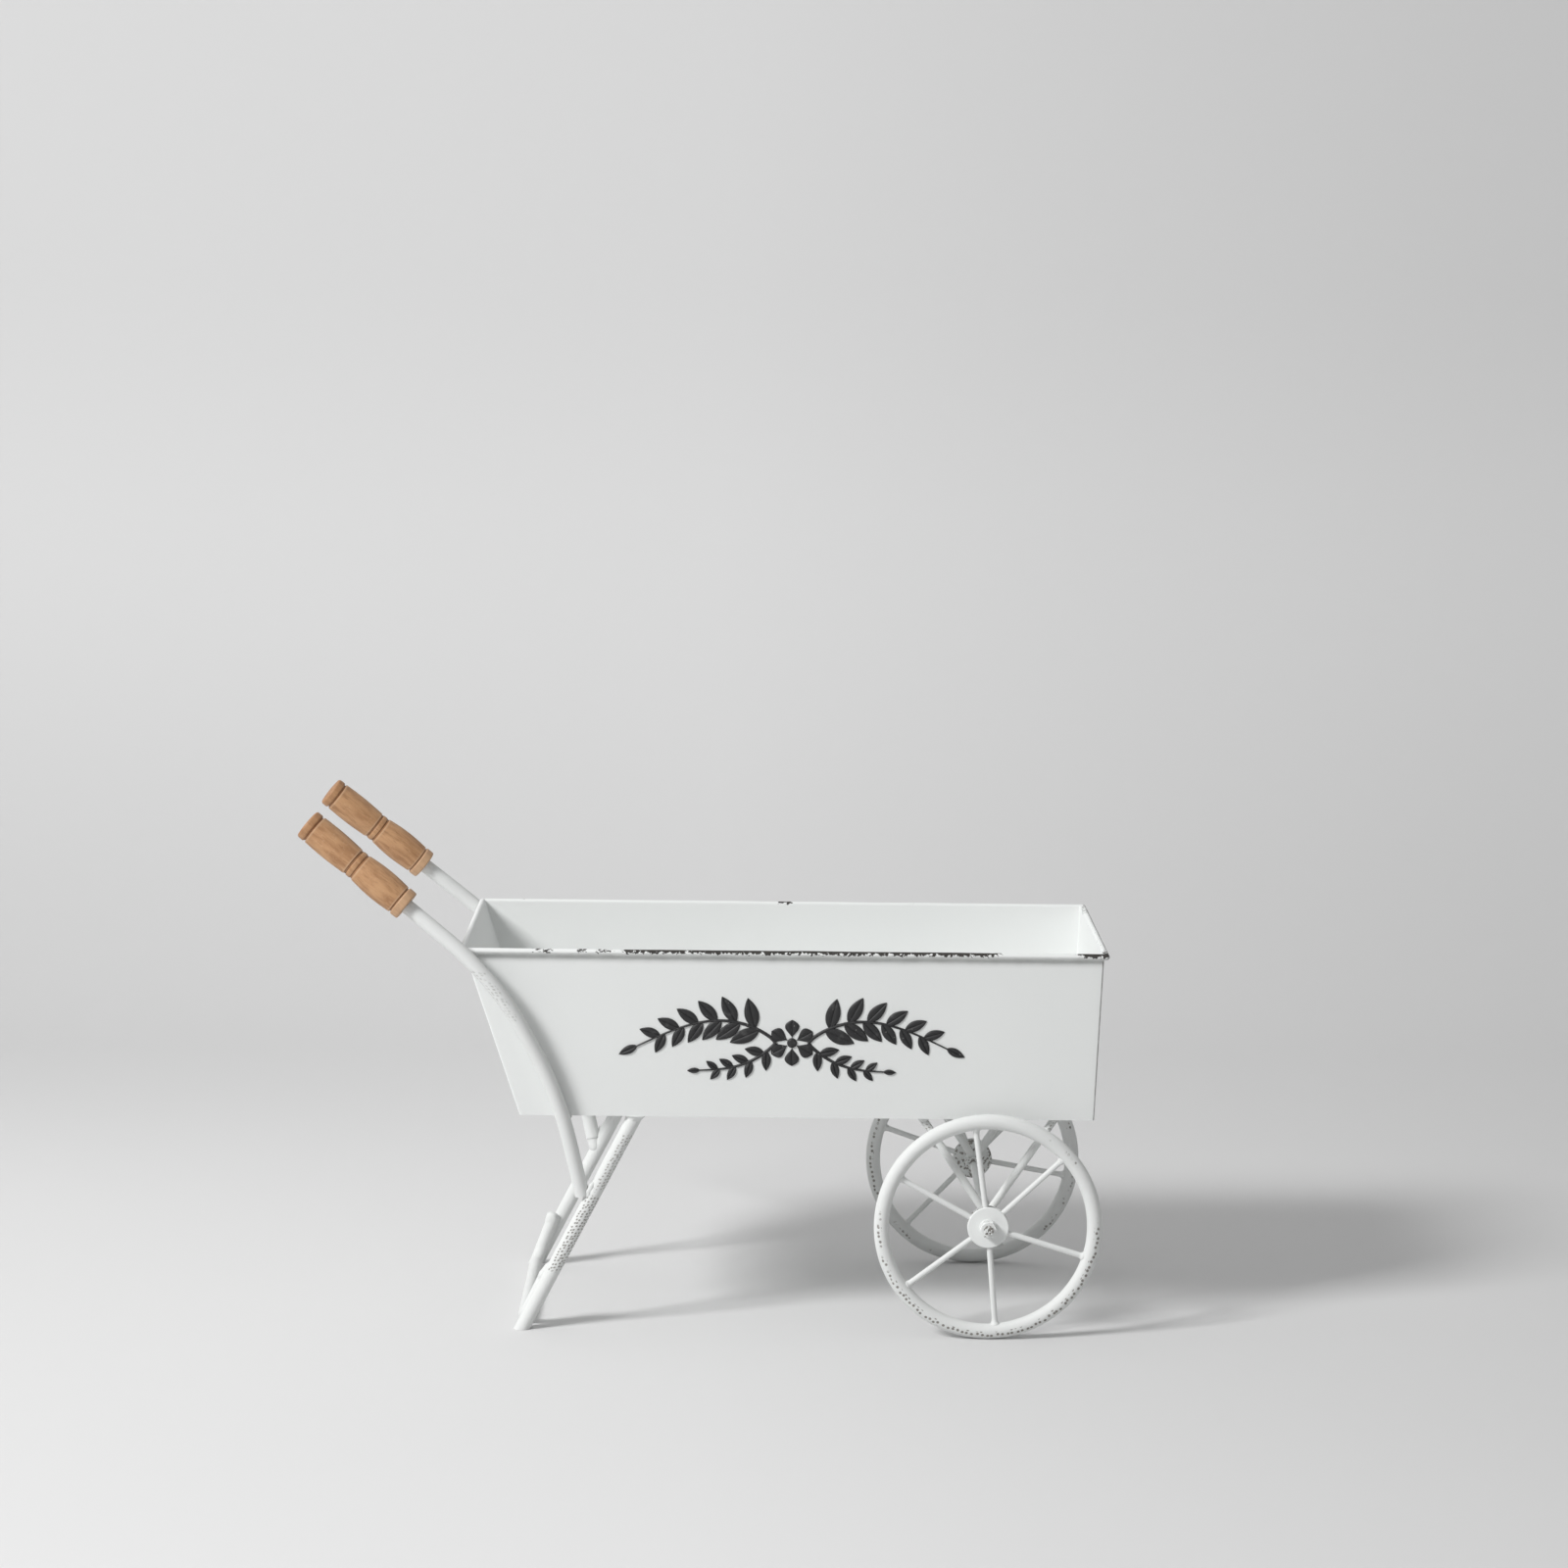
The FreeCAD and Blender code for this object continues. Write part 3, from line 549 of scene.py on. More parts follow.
def wood(name):
    """Turned wood with its grain along the local Z axis.

    It is darker in the grooves and on the cap, and paler on the collar and on the barrels' edges, where
    the pale is partly wear and partly painted highlight.
    """
    graph = Graph(bpy.data.materials.new(name))
    shift = graph.product(graph.add("ObjectInfo").outputs["Random"], 3)
    moved = graph.add("VectorMath", {0: graph.coords, 1: shift}, operation="ADD").outputs[0]
    bend = graph.noise(55, detail=3, vector=moved)
    streaks = graph.noise(1, detail=6, vector=graph.scaled(moved, WOOD_STREAKS), distortion=0.4)
    colour = graph.mix(graph.stretch(streaks, 0.15, 0.7), WOOD_DARK, WOOD_MIDDLE)
    colour = graph.mix(graph.stretch(graph.maths("ADD", streaks, bend), 0.8, 1.3), colour, WOOD_LIGHT)
    pore = graph.stretch(graph.noise(1, detail=3, vector=graph.scaled(moved, WOOD_PORES)), 0.58, 0.7)
    colour = graph.mix(graph.product(pore, 0.45), colour, WOOD_PORE)
    flecks = graph.stretch(graph.noise(700, detail=3, vector=moved), 0.55, 0.75, 0, 0.3)
    colour = graph.mix(flecks, colour, WOOD_PALE)
    place = graph.split(graph.coords)
    groove = graph.stretch(graph.distance(place["X"], place["Y"]), 0.01, GRIP_GROOVE_RADIUS)
    cap_start = GRIP_LENGTH - GRIP_CAP
    cap = graph.stretch(place["Z"], cap_start - GRIP_GROOVE, cap_start)
    darkening = graph.maths("MAXIMUM", graph.product(groove, 0.7), graph.product(cap, 0.45))
    colour = graph.mix(darkening, colour, WOOD_DARK)
    collar = graph.stretch(place["Z"], GRIP_COLLAR + GRIP_GROOVE, GRIP_COLLAR, 0, 0.5)
    colour = graph.mix(collar, colour, WOOD_PALE)
    along = graph.maths("DIVIDE", place["Z"], GRIP_LENGTH)
    # The barrels' pale edges: partly worn wood, partly painted highlight
    marked = graph.product(graph.ramp(along, barrel_edges()), graph.stretch(groove, 0.4, 0))
    colour = graph.mix(marked, colour, WOOD_PALE)
    height = graph.minus(streaks, graph.product(pore, 0.6))
    roughness = graph.stretch(streaks, 0.2, 0.8, *WOOD_ROUGHNESS, kind="LINEAR")
    graph.set(Base_Color=colour, Roughness=roughness, Normal=graph.bump(height, 0.0004, 0.35))
    return graph.owner


def black_paint(name):
    """Matt black paint, rubbed thin in places."""
    graph = Graph(bpy.data.materials.new(name))
    marked = graph.stretch(graph.noise(150, detail=5), 0.58, 0.72)
    colour = graph.mix(graph.product(marked, 0.7), PAINT_BLACK, PAINT_WORN)
    speck = graph.stretch(graph.noise(520, detail=3), 0.7, 0.75)
    colour = graph.mix(graph.product(speck, 0.6), colour, SCUFFED_ENAMEL)
    roughness = graph.stretch(marked, 0, 1, *PAINT_ROUGHNESS, kind="LINEAR")
    graph.set(Base_Color=colour, Roughness=roughness, Normal=graph.bump(graph.noise(600), 0.0002, 0.3))
    return graph.owner


def drawn_wire(name):
    """Bare drawn wire, a little tarnished."""
    graph = Graph(bpy.data.materials.new(name))
    tarnish = graph.noise(260, detail=4)
    graph.set(
        Base_Color=graph.mix(tarnish, WIRE_GREY, WIRE_DARK),
        Metallic=1.0,
        Roughness=graph.stretch(tarnish, 0.3, 0.7, *WIRE_ROUGHNESS, kind="LINEAR"),
        Normal=graph.bump(graph.noise(900), 0.0001, 0.2),
    )
    return graph.owner


# Chips along each rolled edge: its axis, how far up the roll they start, and how dense they are, as
# places in metres from the rim's middle and densities from 0 to 1
HEM_CHIPS = {
    "side_wall_right": ("X", -0.1, [
        (-HALF_LENGTH, 0), (-0.1735, 0), (-0.1715, 0.65), (-0.158, 0.65), (-0.1555, 0), (-0.143, 0.1),
        (-0.1405, 0.7), (-0.135, 0.7), (-0.132, 0.15), (-0.1265, 0.7), (-0.118, 0.6), (-0.113, 0.4),
        (-0.108, 0.9), (-0.07, 1), (-0.066, 0.65), (-0.062, 1), (0.138, 1), (0.147, 0.65),
        (0.156, 0), (0.193, 0), (0.204, 1), (HALF_LENGTH, 1),
    ]),
    "end_wall_front": ("Y", -0.2, [
        (-HALF_WIDTH, 1), (-0.105, 0.7), (-0.09, 0.45), (0.06, 0.4), (0.085, 0.6), (HALF_WIDTH, 0.5),
    ]),
    "side_wall_left": ("X", 0.3, [
        (-HALF_LENGTH, 0), (-0.194, 0), (-0.19, 0.65), (-0.186, 0), (-0.006, 0), (-0.002, 1),
        (0.005, 1), (0.009, 0), (0.091, 0), (0.096, 0.7), (0.1, 0), (0.2, 0.1), (HALF_LENGTH, 0.4),
    ]),
    "end_wall_rear": ("Y", 0.2, [
        (-HALF_WIDTH, 0.3), (-0.1, 0), (0.02, 0.25), (0.1, 0.1), (HALF_WIDTH, 0.4),
    ]),
}
# How dense the worn dots are round the wheels: shares of a turn, and densities from 0 to 1
WHEEL_DOTS = {
    "right": [
        (0, 0.55), (0.03, 0.3), (0.06, 0.1), (0.11, 0.5), (0.16, 0.5), (0.19, 0.05), (0.44, 0.05),
        (0.49, 0.55), (0.56, 0.55), (0.59, 0.85), (0.67, 1), (0.72, 0.9), (0.8, 0.9), (0.85, 1),
        (0.96, 1),
    ],
    "left": [
        (0, 0.4), (0.06, 0.5), (0.1, 0.3), (0.16, 0.5), (0.2, 0.05), (0.4, 0.1), (0.45, 0.6), (0.54, 0.7),
        (0.6, 0.5), (0.7, 0.4), (0.85, 0.3), (0.9, 0.5), (0.97, 0.5),
    ],
}
# Wear on rods: from which height to which, the direction that it faces, and how dense it is
LEG_MARKS = (0.032, 0.104, (0.35, -0.9, -0.15), 0.95)
LEG_SCUFFS = (0.085, 0.15, (0.7, -0.7, 0.0), 0.62)
ROD_MARKS = (0.21, 0.265, (-0.6, -0.6, 0.3), 0.6)
STRUT_MARKS = (0.135, 0.165, (0.3, -0.9, 0.0), 0.7)
# How dense the chips are on small hardware
BOSS_CHIPS = 0.46
NUT_CHIPS = 0.36
STUD_CHIPS = 0.53

tray_enamel = {}
for node, (axis, reach_share, stops) in HEM_CHIPS.items():
    # Every wall gets painted shade below its roll
    darkening = [(hem_painted_shade(OUTWARD[node]), ROLL_SHADE_TONE)]
    if node.startswith("side"):
        # The side walls get a dark corner line, partly wear and partly painted shade
        darkening.append((corner_wear_and_shade, WORN_GREY))
    if node == "end_wall_front":
        # The front wall's roll gets painted shade on its outermost face
        darkening.append((hem_shade_line(OUTWARD[node]), WORN_GREY))
    tray_enamel[node] = enamel(f"enamel_{node}", hem_wear(axis, stops, reach_share), darkening=darkening)
plain_enamel = enamel("enamel_plain")
tube_enamel = enamel("enamel_tube", tones=TUBE_TONES)
wheel_enamel = {
    side: enamel(f"enamel_wheel_{side}", tube_wear(stops), WORN_GREY, WORN_PALE, tones=TUBE_TONES)
    for side, stops in WHEEL_DOTS.items()
}
leg_scuffs = [(rod_wear(*LEG_SCUFFS, LEG_RADIUS), SCUFFED_ENAMEL)]
leg_marks = rod_wear(*LEG_MARKS, LEG_RADIUS)
leg_enamel = enamel("enamel_leg", leg_marks, WORN_GREY, SCUFFED_ENAMEL, leg_scuffs, TUBE_TONES)
rod_marks = rod_wear(*ROD_MARKS, LEG_RADIUS)
rod_enamel = enamel("enamel_rod", rod_marks, SCUFFED_ENAMEL, TUBE_SHADE, tones=TUBE_TONES)
strut_marks = rod_wear(*STRUT_MARKS, STRUT_RADIUS)
strut_enamel = enamel("enamel_strut", strut_marks, WORN_PALE, SCUFFED_ENAMEL, tones=TUBE_TONES)
boss_enamel = enamel("enamel_boss", all_over_wear(BOSS_CHIPS), WORN_GREY, WORN_PALE, tones=TUBE_TONES)
nut_enamel = enamel("enamel_nut", all_over_wear(NUT_CHIPS), WORN_GREY, WORN_PALE)
stud_enamel = enamel("enamel_stud", all_over_wear(STUD_CHIPS, HALF_TRACK), RUSTED_METAL, WORN_PALE)


def paint_nodes():
    """Finishes of the pieces that the frame already shapes."""
    by_start = {
        "wheel_rim_right": wheel_enamel["right"], "wheel_rim_left": wheel_enamel["left"],
        "spoke": tube_enamel, "leg": tube_enamel, "foot_bar": tube_enamel, "handle_rod": tube_enamel,
        "leg_right": leg_enamel, "handle_rod_right": rod_enamel, "strut": strut_enamel,
        "axle_boss": boss_enamel, "hub_disc_inner": boss_enamel, "axle_nut": nut_enamel,
        "rim_wire": drawn_wire("wire"),
    }
    for name, node in frame["nodes"].items():
        finish = plain_enamel
        for start, material in by_start.items():
            if name.startswith(start):
                finish = material
        if name == "axle":
            finish = stud_enamel
        for slot in node.material_slots:
            slot.material = finish


# Tray: four walls of folded sheet, each with its edge rolled outwards, that meet on the corners

# Rows of points up a wall's face and round its roll, and stations along a wall and round half a corner
FACE_ROWS = 12
ROLL_ROWS = 30
WALL_STATIONS = 72
CORNER_STATIONS = 6
# Hand-folded sheet is never quite flat, nor its hem quite straight: height of the waves, lumps per metre
SHEET_WAVE = 0.0006
SHEET_LUMPS = 11
HEM_WAVE = 0.0003
HEM_LUMPS = 34


def wall_profile():
    """The section of a wall as (rectangle, height, corner radius, share of the wall's height)."""
    roll = inset(RIM, ROLL_RADIUS)
    crease = math.pi + math.acos((ROLL_RADIUS - SHEET) / ROLL_RADIUS)
    crease_z = ROLL_Z + ROLL_RADIUS * math.sin(crease)
    rise = ROLL_Z - BASE_Z

    def face(share, depth, corner):
        level = tuple(mixed(a, b, share) for a, b in zip(WALL_BASE, WALL_TOP))
        return inset(level, depth), BASE_Z + rise * share, corner, share

    crease_share = (crease_z - BASE_Z) / rise
    outer = [face(share, 0, WALL_CORNER_RADIUS) for share in steps(FACE_ROWS, 0, crease_share)]
    hem = []
    for turn in steps(ROLL_ROWS, crease, 3 * math.pi)[1:-1]:
        reach = ROLL_RADIUS * math.cos(turn)
        corner = max(INNER_CORNER_RADIUS, RIM_CORNER_RADIUS - ROLL_RADIUS + reach)
        hem.append((inset(roll, -reach), ROLL_Z + ROLL_RADIUS * math.sin(turn), corner, 1.0))
    inner = [face(share, SHEET, INNER_CORNER_RADIUS) for share in steps(FACE_ROWS, 1, 0)]
    return outer + hem + inner


def sheet_swell(place, share, way):
    """How far the sheet stands out at a place, from the shares of the wall's height and length there."""
    return SHEET_WAVE * math.sin(math.pi * share) * math.sin(math.pi * way) * rough(place, SHEET_LUMPS)


def wall_loop(profile, outward, station):
    """The wall's section at one station: an angle round the corner, and the way along the straight."""
    along = Vector((-outward.y, outward.x))
    angle, way = station
    loop = []
    for rectangle, height, corner, share in profile:
        centre = Vector(((rectangle[0] + rectangle[1]) / 2, (rectangle[2] + rectangle[3]) / 2))
        half = Vector(((rectangle[1] - rectangle[0]) / 2, (rectangle[3] - rectangle[2]) / 2))
        half_along = abs(half.dot(along)) - corner
        half_out = abs(half.dot(outward)) - corner
        flat = centre + along * ((2 * way - 1) * half_along + corner * math.sin(angle))
        flat += outward * (half_out + corner * math.cos(angle))
        spot = Vector((flat.x, flat.y, height))
        spot += outward.to_3d() * sheet_swell((flat.x, flat.y, height), share, way)
        if share == 1.0:
            spot.z += HEM_WAVE * math.sin(math.pi * way) * rough((flat.x, flat.y, 0), HEM_LUMPS)
        loop.append(spot)
    return loop


def make_walls():
    """The four walls, each from the middle of one corner to the middle of the next."""
    profile = wall_profile()
    half_corner = math.pi / 4
    stations = [(angle, 0) for angle in steps(CORNER_STATIONS, -half_corner, 0)[:-1]]
    stations += [(0, way) for way in steps(WALL_STATIONS)]
    stations += [(angle, 1) for angle in steps(CORNER_STATIONS, 0, half_corner)[1:]]
    for node, outward in OUTWARD.items():
        skin = Skin()
        skin.add([wall_loop(profile, outward.to_2d(), station) for station in stations])
        piece = skin.piece("folded_" + node, tray_enamel[node], "barrow", "enamel", sharp_degrees=50)
        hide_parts(node)


# Grips

# Points of a section's outline, close together at its rounded ends, and of the tip's dome, as shares
SECTION_SHARES = (0, 0.01, 0.03, 0.06, 0.1, *steps(17, 0.16, 0.84), 0.9, 0.94, 0.97, 0.99, 1)
DOME_SHARES = (0.7, 0.4, 0.1)
BORE_POINT = 0.0002
GRIP_RING = 72
AXIS_ROUNDS = 20


def grip_profile():
    """The outline of a grip as (height, radius), from the bottom of its bore to its tip."""
    outline = [(GRIP_BORE_DEPTH, BORE_POINT), (GRIP_BORE_DEPTH, GRIP_BORE_RADIUS), (0, GRIP_BORE_RADIUS)]
    height = 0.0
    for length, first, last, swell, edge in GRIP_SECTIONS:
        if height:
            outline.append((height, GRIP_GROOVE_RADIUS))
            height += GRIP_GROOVE
            outline.append((height, GRIP_GROOVE_RADIUS))
        for share in SECTION_SHARES:
            from_end = min(share, 1 - share) * length
            lost = 0.0
            if from_end < edge:
                lost = edge - math.sqrt(edge ** 2 - (edge - from_end) ** 2)
            radius = mixed(first, last, share) + swell * math.sin(math.pi * share) - lost
            outline.append((height + share * length, radius))
        height += length
    # The tip is slightly domed
    for share in DOME_SHARES:
        outline.append((height + GRIP_DOME * (1 - share ** 2), outline[-1][1] * share))
    return outline


def grip_ends(node):
    """The middles of the two ends of a CAD grip, the one at the rod first."""
    points = node_points(node)
    centre = middle(points)
    far = max(points, key=lambda point: (point - centre).length)
    guess = (far - centre).normalized()
    # Each round turns the guess further towards the way in which the points spread the most
    for _ in range(AXIS_ROUNDS):
        guess = sum(((point - centre) * (point - centre).dot(guess) for point in points), Vector())
        guess.normalize()
    heights = [(point - centre).dot(guess) for point in points]
    lowest = min(heights) + TOUCH * 10
    highest = max(heights) - TOUCH * 10
    low = middle([point for point, height in zip(points, heights) if height < lowest])
    high = middle([point for point, height in zip(points, heights) if height > highest])
    return (low, high) if low.x > high.x else (high, low)


def make_grips():
    finish = wood("turned_wood")
    profile = grip_profile()
    for side in SIDES:
        node = "grip_" + side
        start, end = grip_ends(node)
        upright = Vector((0, 0, 1))
        skin = Skin()
        skin.add([ring(upright * height, upright, radius, GRIP_RING) for height, radius in profile])
        turn = upright.rotation_difference((end - start).normalized())
        place = Matrix.LocRotScale(start, turn, None)
        piece = skin.piece("turned_" + node, finish, "barrow", "wood", place, sharp_degrees=45)
        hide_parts(node)


# Welds, painted over with the rest

# A weld round a rod's end: how far it spreads on the seat, and how high it climbs the rod
LEG_WELD = (0.0028, 0.004)
STRUT_WELD = (0.0022, 0.0032)
SPOKE_WELD = (0.0013, 0.0026)
SPOKE_WELD_SUNK = 0.0015
# Its outline as shares of its height and of its spread, and its lumps
FILLET_OUTLINE = ((0, 1), (0.12, 0.72), (0.3, 0.42), (0.6, 0.15), (1, 0.01))
FILLET_LUMPS = 900
FILLET_LUMP_SHARE = 0.3
LUMP_SIDE_SHARE = 0.3
BEAD_LUMPS = 620
# The weld over a handle rod's end reaches up the rod and past its end, the left one on into the leg
ROD_END_RADIUS = 0.0046
ROD_END_UP = 0.007
ROD_END_PAST = {"right": 0.0016, "left": 0.011}
# Heights of what is averaged for the rod's end and for its straight part, which starts further up
ROD_END_HEIGHT = 0.004
STRAIGHT_FROM = 0.02
STRAIGHT_HEIGHT = 0.009
# The seam between a handle rod and its leg
ROD_SEAM_RADIUS = 0.0026
ROD_SEAM_ASIDE = 0.002
ROD_SEAM_DOWN = 0.002
ROD_SEAM_UP = 0.011
# The seam between a handle rod and the tray's base edge
EDGE_SEAM_RADIUS = 0.0017
EDGE_SEAM_HALF = 0.006
# The seam between the foot bar and a leg, and the weld over the bar's end
BAR_SEAM_RADIUS = 0.0021
BAR_SEAM_Z = 0.016
BAR_END_RADIUS = BAR_RADIUS - 0.0001
BAR_END_DOWN = 0.007
BAR_END_UP = 0.003
BAR_BLEND_UP = 0.009
# The seam on top of an axle boss
BOSS_SEAM_RADIUS = 0.0024
BOSS_SEAM_HALF = 0.0055
BOSS_SEAM_UP = 0.0006
BOSS_SEAM_DROP = 0.0012


def fillet(skin, seat, direction, radius, spread, height, plane=None, sunk=0.0):
    """A lumpy weld round a rod's end: the rod leaves the seat along the direction, out of a plane."""
    direction = direction.normalized()
    plane = plane or direction
    loops = []
    for up, out in ((-sunk, 1), *FILLET_OUTLINE):
        loop = []
        for point in ring(seat, direction, radius + spread * out):
            lump = 1 + FILLET_LUMP_SHARE * rough(point, FILLET_LUMPS) if up > 0 else 1.0
            outwards = (point - seat) * mixed(1, lump, LUMP_SIDE_SHARE)
            slide = -outwards.dot(plane) / direction.dot(plane)
            rise = up if up < 0 else up * height * lump
            loop.append(seat + outwards + direction * (slide + rise))
        loops.append(loop)
    skin.add(loops)


def bead(skin, start, end, radius, lumps=0.28):
    """A lumpy seam of weld from one place to another; lumps is their height as a share of the radius."""
    direction = (end - start).normalized()
    loops = []
    for share in steps(15):
        round_off = math.sqrt(max(0.02, 1 - (2 * share - 1) ** 4))
        centre = start.lerp(end, share)
        loop = []
        for point in ring(centre, direction, radius * round_off, 16):
            loop.append(centre + (point - centre) * (1 + lumps * rough(point, BEAD_LUMPS)))
        loops.append(loop)
    skin.add(loops)


def on_leg(foot, leg_way, height):
    """The place on a leg's axis at a height."""
    return foot + leg_way * (height / leg_way.z)


def weld_handle_rod(welds, side, sign, foot, leg_way):
    """The handle rod's end on its leg, and the rod where it passes the tray's base edge."""
    rod = node_points("handle_rod_" + side)
    lowest = min(point.z for point in rod)
    tip = middle(near_height(rod, lowest, within=ROD_END_HEIGHT))
    bend = min(point.z for point in rod if point.z > lowest + STRAIGHT_FROM)
    straight = [point for point in rod if bend <= point.z < bend + STRAIGHT_HEIGHT]
    rod_way = (middle(straight) - tip).normalized()
    bead(welds, tip - rod_way * ROD_END_PAST[side], tip + rod_way * ROD_END_UP, ROD_END_RADIUS, lumps=0.1)
    seam = tip.lerp(on_leg(foot, leg_way, tip.z), 0.45) + Vector((0, sign * ROD_SEAM_ASIDE, 0))
    bead(welds, seam - leg_way * ROD_SEAM_DOWN, seam + leg_way * ROD_SEAM_UP, ROD_SEAM_RADIUS)
    beside = near_height(rod, BASE_Z, within=0.004)
    inner_y = min(abs(point.y) for point in beside)
    inner = middle([point for point in beside if abs(point.y) < inner_y + 0.001])
    reach = Vector((EDGE_SEAM_HALF, 0, 0))
    bead(welds, inner - reach, inner + reach, EDGE_SEAM_RADIUS)


def weld_foot_bar(welds, side, sign, foot, leg_way):
    """The foot bar's upturned end by its leg: the left one stands free, the right one is blended in."""
    bar = [point for point in node_points("foot_bar") if point.y * sign > 0]
    end = middle(near_height(bar, max(point.z for point in bar), within=0.003))
    leg_there = on_leg(foot, leg_way, end.z)
    low_leg = on_leg(foot, leg_way, BAR_SEAM_Z)
    low_bar = middle(near_height(bar, BAR_SEAM_Z, within=0.002))
    bead(welds, low_bar.lerp(low_leg, 0.48), end.lerp(leg_there, 0.48), BAR_SEAM_RADIUS)
    bar_way = (end - low_bar).normalized()
    tip = end + bar_way * BAR_END_UP
    if side == "right":
        tip = end.lerp(leg_there, 0.7) + leg_way * BAR_BLEND_UP
    bead(welds, end - bar_way * BAR_END_DOWN, tip, BAR_END_RADIUS, lumps=0.06)


def make_welds():
    welds = Skin()
    down = Vector((0, 0, -1))
    for side, sign in SIDES.items():
        leg = node_points("leg_" + side)
        foot = middle(near_height(leg, 0))
        top = middle(near_height(leg, BASE_Z))
        leg_way = (top - foot).normalized()
        fillet(welds, top, foot - top, LEG_RADIUS, *LEG_WELD, down)
        weld_handle_rod(welds, side, sign, foot, leg_way)
        weld_foot_bar(welds, side, sign, foot, leg_way)
        for end_name in ("front", "rear"):
            strut_top = middle(near_height(node_points(f"strut_{side}_{end_name}"), BASE_Z))
            strut_foot = Vector((AXLE.x, strut_top.y, AXLE.z))
            fillet(welds, strut_top, strut_foot - strut_top, STRUT_RADIUS, *STRUT_WELD, down)
        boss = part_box("axle_boss_" + side)
        boss_top = Vector((AXLE.x, (boss[0].y + boss[1].y) / 2, boss[1].z + BOSS_SEAM_UP))
        behind = boss_top - Vector((BOSS_SEAM_HALF, 0, BOSS_SEAM_DROP))
        ahead = boss_top + Vector((BOSS_SEAM_HALF, 0, -BOSS_SEAM_DROP))
        bead(welds, behind, ahead, BOSS_SEAM_RADIUS)
    welds.piece("welds", tube_enamel, "barrow", "enamel", sharp_degrees=70)


def make_wheel_welds():
    for side in SIDES:
        hub = WHEELS[side + "_wheel"]
        welds = Skin()
        for number in range(1, 7):
            low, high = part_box(f"spoke_{side}_{number}")
            way = (low + high) / 2 - hub
            way.y = 0
            way.normalize()
            seat = hub + way * (TUBE_CENTRE - WHEEL_TUBE_RADIUS)
            fillet(welds, seat, -way, SPOKE_RADIUS, *SPOKE_WELD, sunk=SPOKE_WELD_SUNK)
        welds.piece("wheel_welds_" + side, tube_enamel, side + "_wheel", "enamel", sharp_degrees=70)


# Threads on the axle's two ends

THREAD_PITCH = 0.001
THREAD_DEPTH = 0.00035
THREAD_STEPS = 28
# Half of the ridge's base as a share of the pitch, its crest as a share of that, and how fast it rises
THREAD_BASE_SHARE = 0.42
THREAD_CREST_SHARE = 0.2
THREAD_RISE = 8
THREAD_SUNK = 0.0001


def make_threads():
    for side, sign in SIDES.items():
        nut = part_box("axle_nut_" + side)
        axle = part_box("axle")
        outer = 0 if sign < 0 else 1
        start = nut[outer].y
        end = axle[outer].y
        turns = abs(end - start) / THREAD_PITCH - 0.5
        loops = []
        for share in steps(int(turns * THREAD_STEPS)):
            angle = 2 * math.pi * turns * share
            out = Vector((math.cos(angle), 0, math.sin(angle)))
            middle_y = start + sign * THREAD_PITCH * (turns * share + 0.25)
            centre = Vector((AXLE.x, middle_y, AXLE.z))
            grown_share = min(1, THREAD_RISE * share, THREAD_RISE * (1 - share))
            half = Vector((0, THREAD_PITCH * THREAD_BASE_SHARE, 0))
            half_crest = half * THREAD_CREST_SHARE
            base = centre + out * (AXLE_RADIUS - THREAD_SUNK)
            top = centre + out * (AXLE_RADIUS + THREAD_DEPTH * grown_share + TOUCH)
            loops.append([base - half, top - half_crest, top + half_crest, base + half])
        thread = Skin()
        thread.add(loops)
        thread.piece("stud_thread_" + side, stud_enamel, "barrow", "hardware")


# Embossed sprig on the right wall: two pairs of leafy branches about a small flower

SPRIG_PLACE = Vector((RIM_MIDDLE["X"] + 0.006, 0, 0.204))
SPRIG_HEIGHT = 0.0013
SPRIG_SUNK = 0.0004
STEM_WIDTH = 0.0026
# How far from the flower's middle the branches start
STEM_START = 0.011
# Each pair of branches: reach, arch, drop, pairs of leaves, and length and width of its largest leaf
SPRIG_BRANCHES = [
    (0.108, 0.017, -0.004, 6, 0.023, 0.0105),
    (0.064, -0.007, -0.02, 4, 0.0145, 0.0068),
]
# A leaf's section: shares of its half width and of its height, and None for its sunken foot
LEAF_SECTION = (
    (-1, None), (-1, 0.45), (-0.8, 0.85), (-0.45, 1), (-0.12, 0.8), (0, 0.45),
    (0.12, 0.8), (0.45, 1), (0.8, 0.85), (1, 0.45), (1, None),
)
PETALS = 6
PETAL_START = 0.0038
PETAL_LENGTH = 0.0125
PETAL_WIDTH = 0.0098
FLOWER_HEART_RADIUS = 0.0034


def on_wall(x, up, out):
    """A place on the right wall's outer face: along it, up it and out of it, from the sprig's middle."""
    base = Vector((0, WALL_BASE[2], BASE_Z))
    rise = (Vector((0, WALL_TOP[2], ROLL_Z)) - base).normalized()
    normal = rise.cross(Vector((1, 0, 0)))
    if normal.y > 0:
        normal = -normal
    level = (SPRIG_PLACE.z - BASE_Z) / rise.z
    spot = Vector((SPRIG_PLACE.x + x, 0, 0)) + base + rise * (level + up)
    share = (spot.z - BASE_Z) / (ROLL_Z - BASE_Z)
    low, high = (mixed(WALL_BASE[i], WALL_TOP[i], share) for i in (0, 1))
    swell = sheet_swell(spot, share, (spot.x - low) / (high - low))
    return spot + normal * out - Vector((0, swell, 0))


def leaf(skin, start, heading, length, width, fullest=0.45):
    """A pointed leaf with two rounded halves and a sunken midrib, on the wall."""
    way = Vector((math.cos(heading), math.sin(heading)))
    aside = Vector((-way.y, way.x))
    loops = []
    for share in steps(17):
        swell = math.sin(math.pi * share ** (math.log(0.5) / math.log(fullest))) ** 0.8
        half = max(0.00015, width / 2 * swell)
        rise = SPRIG_HEIGHT * (0.35 + 0.65 * swell)
        middle_line = start + way * (length * share)
        loop = []
        for side, level in LEAF_SECTION:
            spot = middle_line + aside * (half * side)
            loop.append(on_wall(spot.x, spot.y, -SPRIG_SUNK if level is None else rise * level))
        loops.append(loop)
    skin.add(loops)


